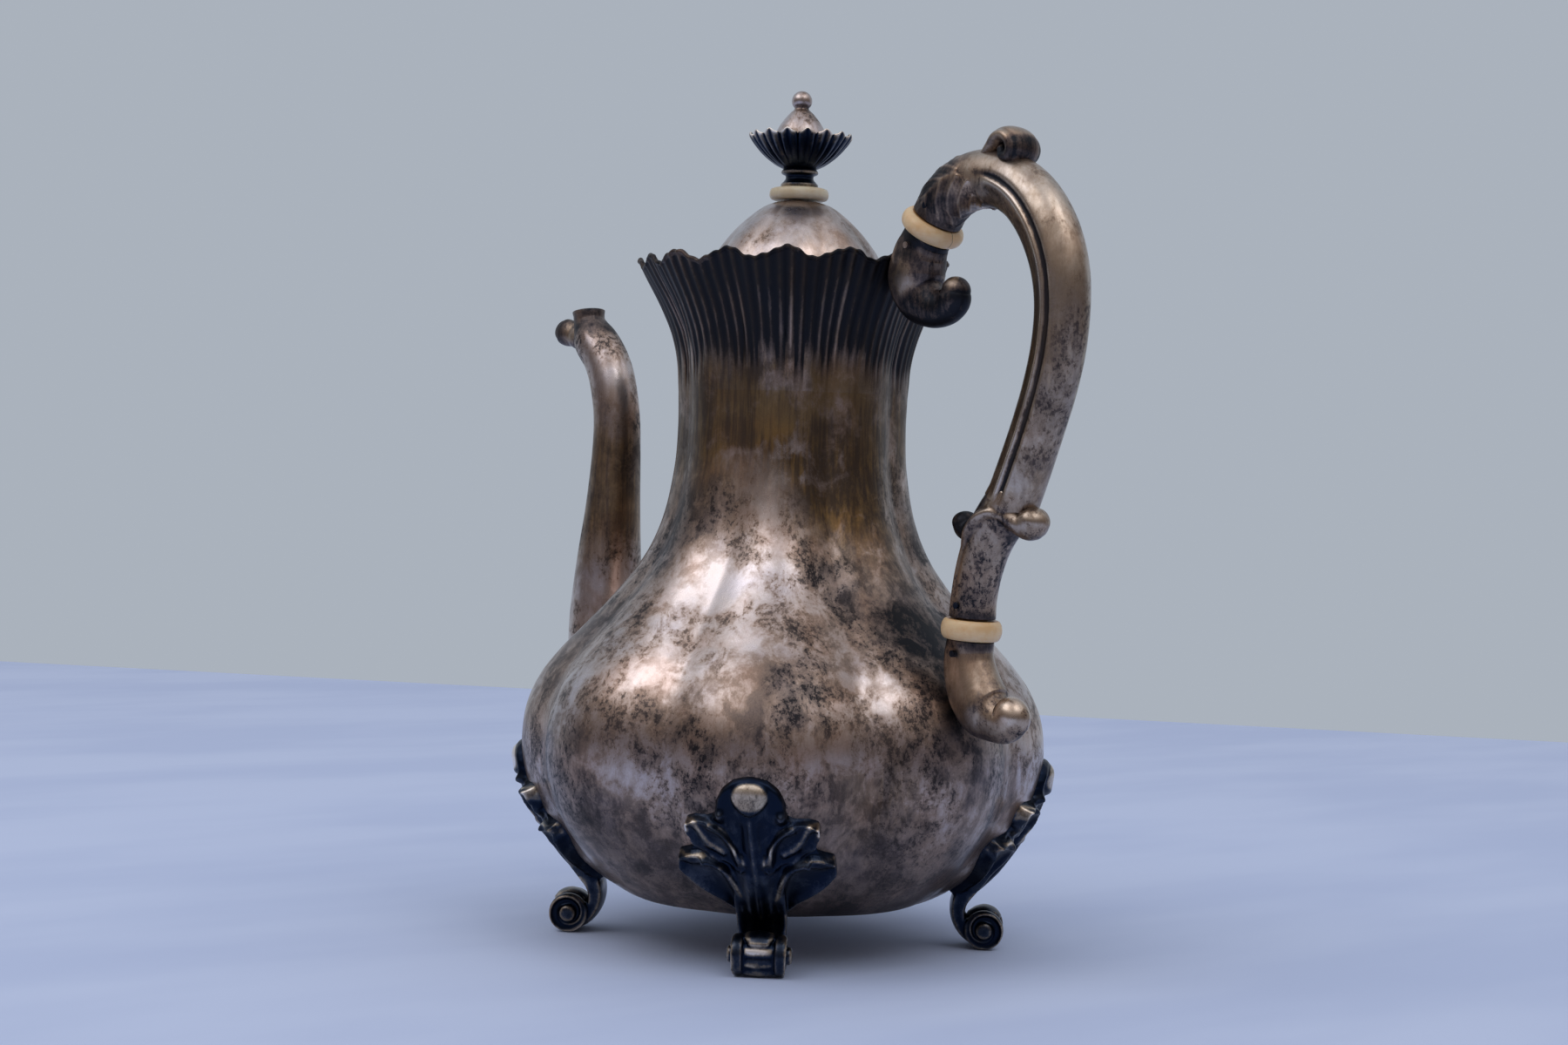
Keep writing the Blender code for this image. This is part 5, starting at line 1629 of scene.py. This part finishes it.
    def roll(self) -> bpy.types.Object:
        """Turns the volute: gadrooned barrel, two rimmed discs and a boss at each end."""
        half = [
            (0.0, 9.5), (1.5, 9.4), (2.2, 9.1), (2.5, 8.6), (2.5, 7.9), (2.9, 7.5), (3.7, 7.35),
            (4.6, 7.4), (5.3, 7.6), (5.75, 7.4), (5.95, 6.9), (5.95, 5.2), (5.7, 4.75), (5.2, 4.55),
            (4.95, 4.2), (5.0, 3.0), (5.15, 1.2),
        ]
        outline = [(r, y) for r, y in half] + [(r, -y) for r, y in half[::-1]]
        profile = curve_through(outline, 150)
        profile[0, 0] = profile[-1, 0] = 0
        angle = np.linspace(0, TURN, 96, endpoint=False)[None, :]
        radius = np.repeat(np.maximum(profile[:, :1], 0), 96, axis=1)
        across = np.repeat(profile[:, 1:], 96, axis=1)
        barrel = smooth_step(np.abs(across), 4.3, 3.9)
        radius = radius + barrel * (0.5 * np.abs(np.cos(3 * (angle - math.pi / 2))) ** 0.7 - 0.35)
        # The end is a rolled strap: a raised line winds inwards from the rim to the boss.
        start = 0.15 * TURN
        wind = 5.2 - 2.9 * np.mod((angle - start) / TURN, 1.0)
        face = smooth_step(np.abs(across), 6.9, 7.3) * smooth_step(radius, 2.3, 2.7)
        line = bell(radius, wind, 0.34) + bell(radius, wind + 2.9, 0.34)
        across = across + np.sign(across) * face * (0.75 * line - 0.25)
        points = np.stack([
            self.volute[0] + radius * np.cos(angle), across, self.volute[1] + radius * np.sin(angle),
        ], axis=-1) * MM
        made = rolled_skin("volute", points)
        line = [(60.0, 9.6, 1.2), (62.2, 10.9, 1.3), (64.6, 11.4, 1.3), (67.0, 10.7, 1.2), (68.6, 9.4, 0.9)]
        bump = BentRod("volute_leaf", line, 40, 40, 1.0, 3.4, True, True).build()
        return joined("volute", [made, bump])

    def casting(self, vessel: Vessel) -> bpy.types.Object:
        """Fuses the parts into one casting and stands it flat on the table."""
        made = cast("foot_pattern", [self.palmette(vessel), self.leg(), self.roll()], self.grain, 2)
        points = mesh_points(made)
        points[:, 2] = np.maximum(points[:, 2], 0.0)
        set_points(made, points)
        smooth_shade(made, 80)
        place_mm = points / MM
        across, height = np.abs(place_mm[:, 1]), place_mm[:, 2]
        # Painted highlights along the chased upper edges of the leaves, where the metal is also rubbed; the
        # relief counts little elsewhere on the palmette, so its lower edges stay dark.
        chased = sum(bell(self.near_line(across, height, line), 0, 0.5) for line, _, _ in self.strokes[:4])
        chased = np.clip(chased, 0, 1) * smooth_step(place_mm[:, 0], 60, 64)
        paint_relief(made, 8, 0.24 * MM, np.where(height > 17, 0.22 + 0.5 * chased, 0.8))
        # The jewel's top is painted bright: rubbed metal with a painted reflection on it.
        far = np.hypot(place_mm[:, 1] / 5.5, (place_mm[:, 2] - 52.8) / 4.3)
        jewel_highlight = smooth_step(far, 1.1, 0.8) * smooth_step(place_mm[:, 0], 80.5, 82.5)
        hood = bell(np.hypot(across, height - 50.0), 8.2, 1.6) * smooth_step(height, 47.5, 49.5)
        barrel = (across < 4.0) * smooth_step(place_mm[:, 0], 68.0, 69.0)
        # Painted highlights across the barrel's upper and lower gadroons, on their rubbed crests.
        bar_highlights = bell(height, 7.6, 0.9) + bell(height, 2.6, 0.9)
        spine = bell(across, 0, 0.5) * smooth_step(height, 26, 32) * smooth_step(height, 48, 45)
        leg = bell(across, 3.6, 0.8) * smooth_step(height, 9, 12) * smooth_step(height, 20, 17)
        # Painted highlights, with rubbed metal, along the chased edges, the spine and the leg ribs.
        lines = 0.95 * chased * (1 - hood) + 0.9 * spine + 0.6 * leg
        paint(made, "wear_and_highlight", 3.0 * jewel_highlight + 1.9 * barrel * bar_highlights + lines)
        paint(made, "oxide_and_shade", 0.16 + 0.75 * hood * (1 - jewel_highlight))
        return made

    def settle(self, obj: bpy.types.Object, vessel: Vessel, aside: float = -2.8) -> None:
        """Leans a foot's palmette sideways round the belly, as the old solder let it settle.

        Args:
            obj: The foot in its place.
            vessel: The belly that it lies on.
            aside: How far its top moves round the belly, in millimetres.
        """
        points = mesh_points(obj) / MM
        height = points[:, 2]
        angle = np.arctan2(points[:, 1], points[:, 0])
        moved = angle + smooth_step(height, 10, 50) * aside / 80.0
        on_belly = np.clip(height, 13.3, 208.0)
        radius = np.hypot(points[:, 0], points[:, 1])
        belly = vessel.surface(moved, on_belly) - vessel.surface(angle, on_belly)
        radius += belly * smooth_step(height, 10, 22)
        set_points(obj, about_axis(radius, moved, height))

    def build(self, vessel: Vessel) -> None:
        """Copies the casting to the four corners.

        Args:
            vessel: The belly that the palmettes lie on.
        """
        pattern = self.casting(vessel)
        places = {
            "foot_back_right": 45, "foot_back_left": 135, "foot_front_left": 225, "foot_front_right": 315,
        }
        for node, degrees in places.items():
            copy = pattern.copy()
            copy.data = pattern.data.copy()
            copy.name = copy.data.name = node.replace("foot", "cast_foot")
            bpy.context.scene.collection.objects.link(copy)
            place(copy, Matrix.Rotation(math.radians(degrees), 4, "Z"))
            if degrees == 315:
                self.settle(copy, vessel)
            dress(copy, CAST_OXIDE, Body.POT, Slot.OXIDE, node)
        bpy.data.objects.remove(pattern)


# ----------------------------------------------------------------------------------------------
# Frame nodes that stay, and the studio
# ----------------------------------------------------------------------------------------------


@dataclass
class Fittings:
    """CAD nodes that keep their shape: pins, bolt, nut, ledge, flange and base."""

    finishes: dict[str, SilverFinish] = field(default_factory=lambda: {
        "base_plate": INNER_SILVER, "lid_seat_ring": SEAT_SILVER, "lid_flange": LID_SILVER,
        "finial_bolt": INNER_SILVER, "finial_washer": INNER_SILVER, "finial_nut": INNER_SILVER,
        "upper_socket_pin": KNOP_SILVER, "upper_grip_pin": CAST_OXIDE, "lower_grip_pin": CAST_OXIDE,
        "lower_socket_pin": CAST_OXIDE,
    })

    def dress(self, nodes: dict[str, bpy.types.Object]) -> None:
        """Gives each kept node its finish.

        Args:
            nodes: The frame's objects by name.
        """
        for name, finish in self.finishes.items():
            kept = nodes[name]
            kept.data.materials.clear()
            kept.data.materials.append(FINISHES.get(finish))
            log.info("%s: kept, %s", name, finish.name)


@dataclass
class Studio:
    """Table, sky and lamps, and the camera at the pot's three-quarter view."""

    azimuth: float = 49.0
    distance: float = 0.788
    height: float = 0.1382
    lens: float = 58.4
    aim_down: float = math.degrees(math.atan(0.0097 / 0.788))
    aim_side: float = 0.108
    lean: float = 1.8
    table_top: float = -0.0002

    def camera(self) -> None:
        """Sets up the camera."""
        clear_selection()
        turn = math.radians(self.azimuth)
        spot = Vector((math.sin(turn) * self.distance, -math.cos(turn) * self.distance, self.height))
        bpy.ops.object.camera_add(location=spot)
        made = bpy.context.active_object
        made.data.lens = self.lens
        made.data.sensor_width = 36.0
        made.data.dof.use_dof = False
        facing = Matrix.Rotation(turn + math.radians(self.aim_side), 4, "Z") @ Matrix.Rotation(
            math.radians(90 - self.aim_down), 4, "X"
        ) @ Matrix.Rotation(math.radians(self.lean), 4, "Z")
        made.matrix_world = Matrix.Translation(spot) @ facing
        bpy.context.scene.camera = made

    def table(self) -> None:
        """Lays the pale cloth: a wide flat top with its far edge behind the pot."""
        clear_selection()
        bpy.ops.mesh.primitive_plane_add(size=2.0, location=(0, 0, self.table_top))
        made = bpy.context.active_object
        made.name = "pale_table"
        set_points(made, self.table_corners())
        n = Nodes("pale_cloth")
        fold = n.noise(n.stretched((0.012, 0.004, 0.01), (0, 0, 0), (0, 0, 0.6)), 3.0, 0.5)
        weave = n.noise(n.stretched((0.9, 0.9, 0.9)), 2.0, 0.5)
        cloth = n.mix(n.spread(fold, 0.35, 0.65), (0.56, 0.66, 0.92), (0.62, 0.72, 0.97))
        n.feed(n.shader.inputs["Base Color"], cloth)
        n.shader.inputs["Roughness"].default_value = 0.85
        n.feed(n.shader.inputs["Normal"], n.bump(weave, 0.2 * MM, 0.2, n.bump(fold, 6 * MM, 0.5)))
        made.data.materials.append(n.material)

    def table_corners(self) -> np.ndarray:
        """Corners of the table top, in the order of the plane's points."""
        turn = math.radians(self.azimuth)
        back = np.array([-math.sin(turn), math.cos(turn)])
        right = np.array([math.cos(turn), math.sin(turn)])
        places = [(-2.4, -2.2), (2.4, -2.2), (-0.72, 1.06), (1.9, 0.42)]
        return np.array([np.append(side * right + away * back, self.table_top) for side, away in places])

    def lamp(self, name: str, azimuth: float, elevation: float, away: float, size: tuple[float, float],
             watts: float, colour: Colour) -> None:
        """Hangs one soft area lamp that faces the pot.

        Args:
            name: Name of the lamp.
            azimuth: Its bearing in degrees, 0 being in front.
            elevation: Its height above the horizon in degrees.
            away: Its distance.
            size: Width and height.
            watts: Its power.
            colour: Its colour.
        """
        clear_selection()
        a, e = math.radians(azimuth), math.radians(elevation)
        way = Vector((math.sin(a) * math.cos(e), -math.cos(a) * math.cos(e), math.sin(e)))
        centre = Vector((0, 0, 0.11))
        bpy.ops.object.light_add(type="AREA", location=centre + way * away)
        made = bpy.context.active_object
        made.name = name
        made.data.shape = "RECTANGLE"
        made.data.size, made.data.size_y = size
        made.data.energy = watts
        made.data.color = colour
        made.rotation_mode = "QUATERNION"
        made.rotation_quaternion = (-way).to_track_quat("-Z", "Y")

    def sky(self) -> None:
        """Sets the surroundings: bright above and behind, dim and brown in front at table height."""
        world = bpy.data.worlds.new("studio")
        world.use_nodes = True
        bpy.context.scene.world = world
        tree = world.node_tree
        tree.nodes.clear()
        new = tree.nodes.new
        out, choose = new("ShaderNodeOutputWorld"), new("ShaderNodeMixShader")
        shade, plain = new("ShaderNodeBackground"), new("ShaderNodeBackground")
        split = new("ShaderNodeSeparateXYZ")
        tree.links.new(new("ShaderNodeTexCoord").outputs["Generated"], split.inputs[0])
        up = new("ShaderNodeValToRGB")
        tree.links.new(split.outputs[2], up.inputs["Fac"])
        stops = [(0.0, (0.12, 0.095, 0.08)), (0.20, (0.13, 0.105, 0.09)), (0.45, (0.30, 0.27, 0.26)),
                 (0.70, (0.80, 0.79, 0.82)), (1.0, (0.75, 0.76, 0.82))]
        while len(up.color_ramp.elements) < len(stops):
            up.color_ramp.elements.new(0.5)
        for element, (where, colour) in zip(up.color_ramp.elements, stops):
            element.position = where
            element.color = (*colour, 1)
        turn = math.radians(self.azimuth)
        facing = new("ShaderNodeVectorMath")
        facing.operation = "DOT_PRODUCT"
        tree.links.new(split.inputs[0].links[0].from_socket, facing.inputs[0])
        facing.inputs[1].default_value = (-math.sin(turn), math.cos(turn), 0)
        behind = new("ShaderNodeMapRange")
        behind.interpolation_type = "SMOOTHSTEP"
        tree.links.new(facing.outputs["Value"], behind.inputs["Value"])
        behind.inputs["From Min"].default_value = -0.05
        behind.inputs["From Max"].default_value = 0.55
        wall = new("ShaderNodeMix")
        wall.data_type = "RGBA"
        tree.links.new(behind.outputs["Result"], wall.inputs[0])
        tree.links.new(up.outputs["Color"], wall.inputs[6])
        wall.inputs[7].default_value = (0.40, 0.44, 0.50, 1)
        tree.links.new(wall.outputs[2], shade.inputs["Color"])
        plain.inputs["Color"].default_value = (0.403, 0.445, 0.505, 1)
        tree.links.new(new("ShaderNodeLightPath").outputs["Is Camera Ray"], choose.inputs["Fac"])
        tree.links.new(shade.outputs[0], choose.inputs[1])
        tree.links.new(plain.outputs[0], choose.inputs[2])
        tree.links.new(choose.outputs[0], out.inputs["Surface"])

    def build(self) -> None:
        """Sets the whole studio up."""
        self.sky()
        self.table()
        self.lamp("window_left", self.azimuth - 58, 50, 1.5, (1.1, 0.8), 3.0, (0.98, 0.97, 1.0))
        self.lamp("window_right", self.azimuth + 36, 54, 1.6, (0.8, 0.7), 2.0, (0.98, 0.98, 1.0))
        self.camera()
        bpy.context.scene.view_settings.view_transform = "Standard"


def main() -> None:
    """Builds the pot's looks round its frame, sub-assembly by sub-assembly."""
    logging.basicConfig(level=logging.INFO, format="%(name)s %(message)s", stream=sys.stdout)
    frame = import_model()
    vessel = Vessel()
    vessel.body()
    vessel.collar()
    Lid().build()
    spout = Spout()
    spout.tube(vessel)
    spout.scroll()
    Handle().build(vessel)
    Foot().build(vessel)
    Fittings().dress(frame["nodes"])
    Studio().build()


if __name__ == "__main__":
    main()
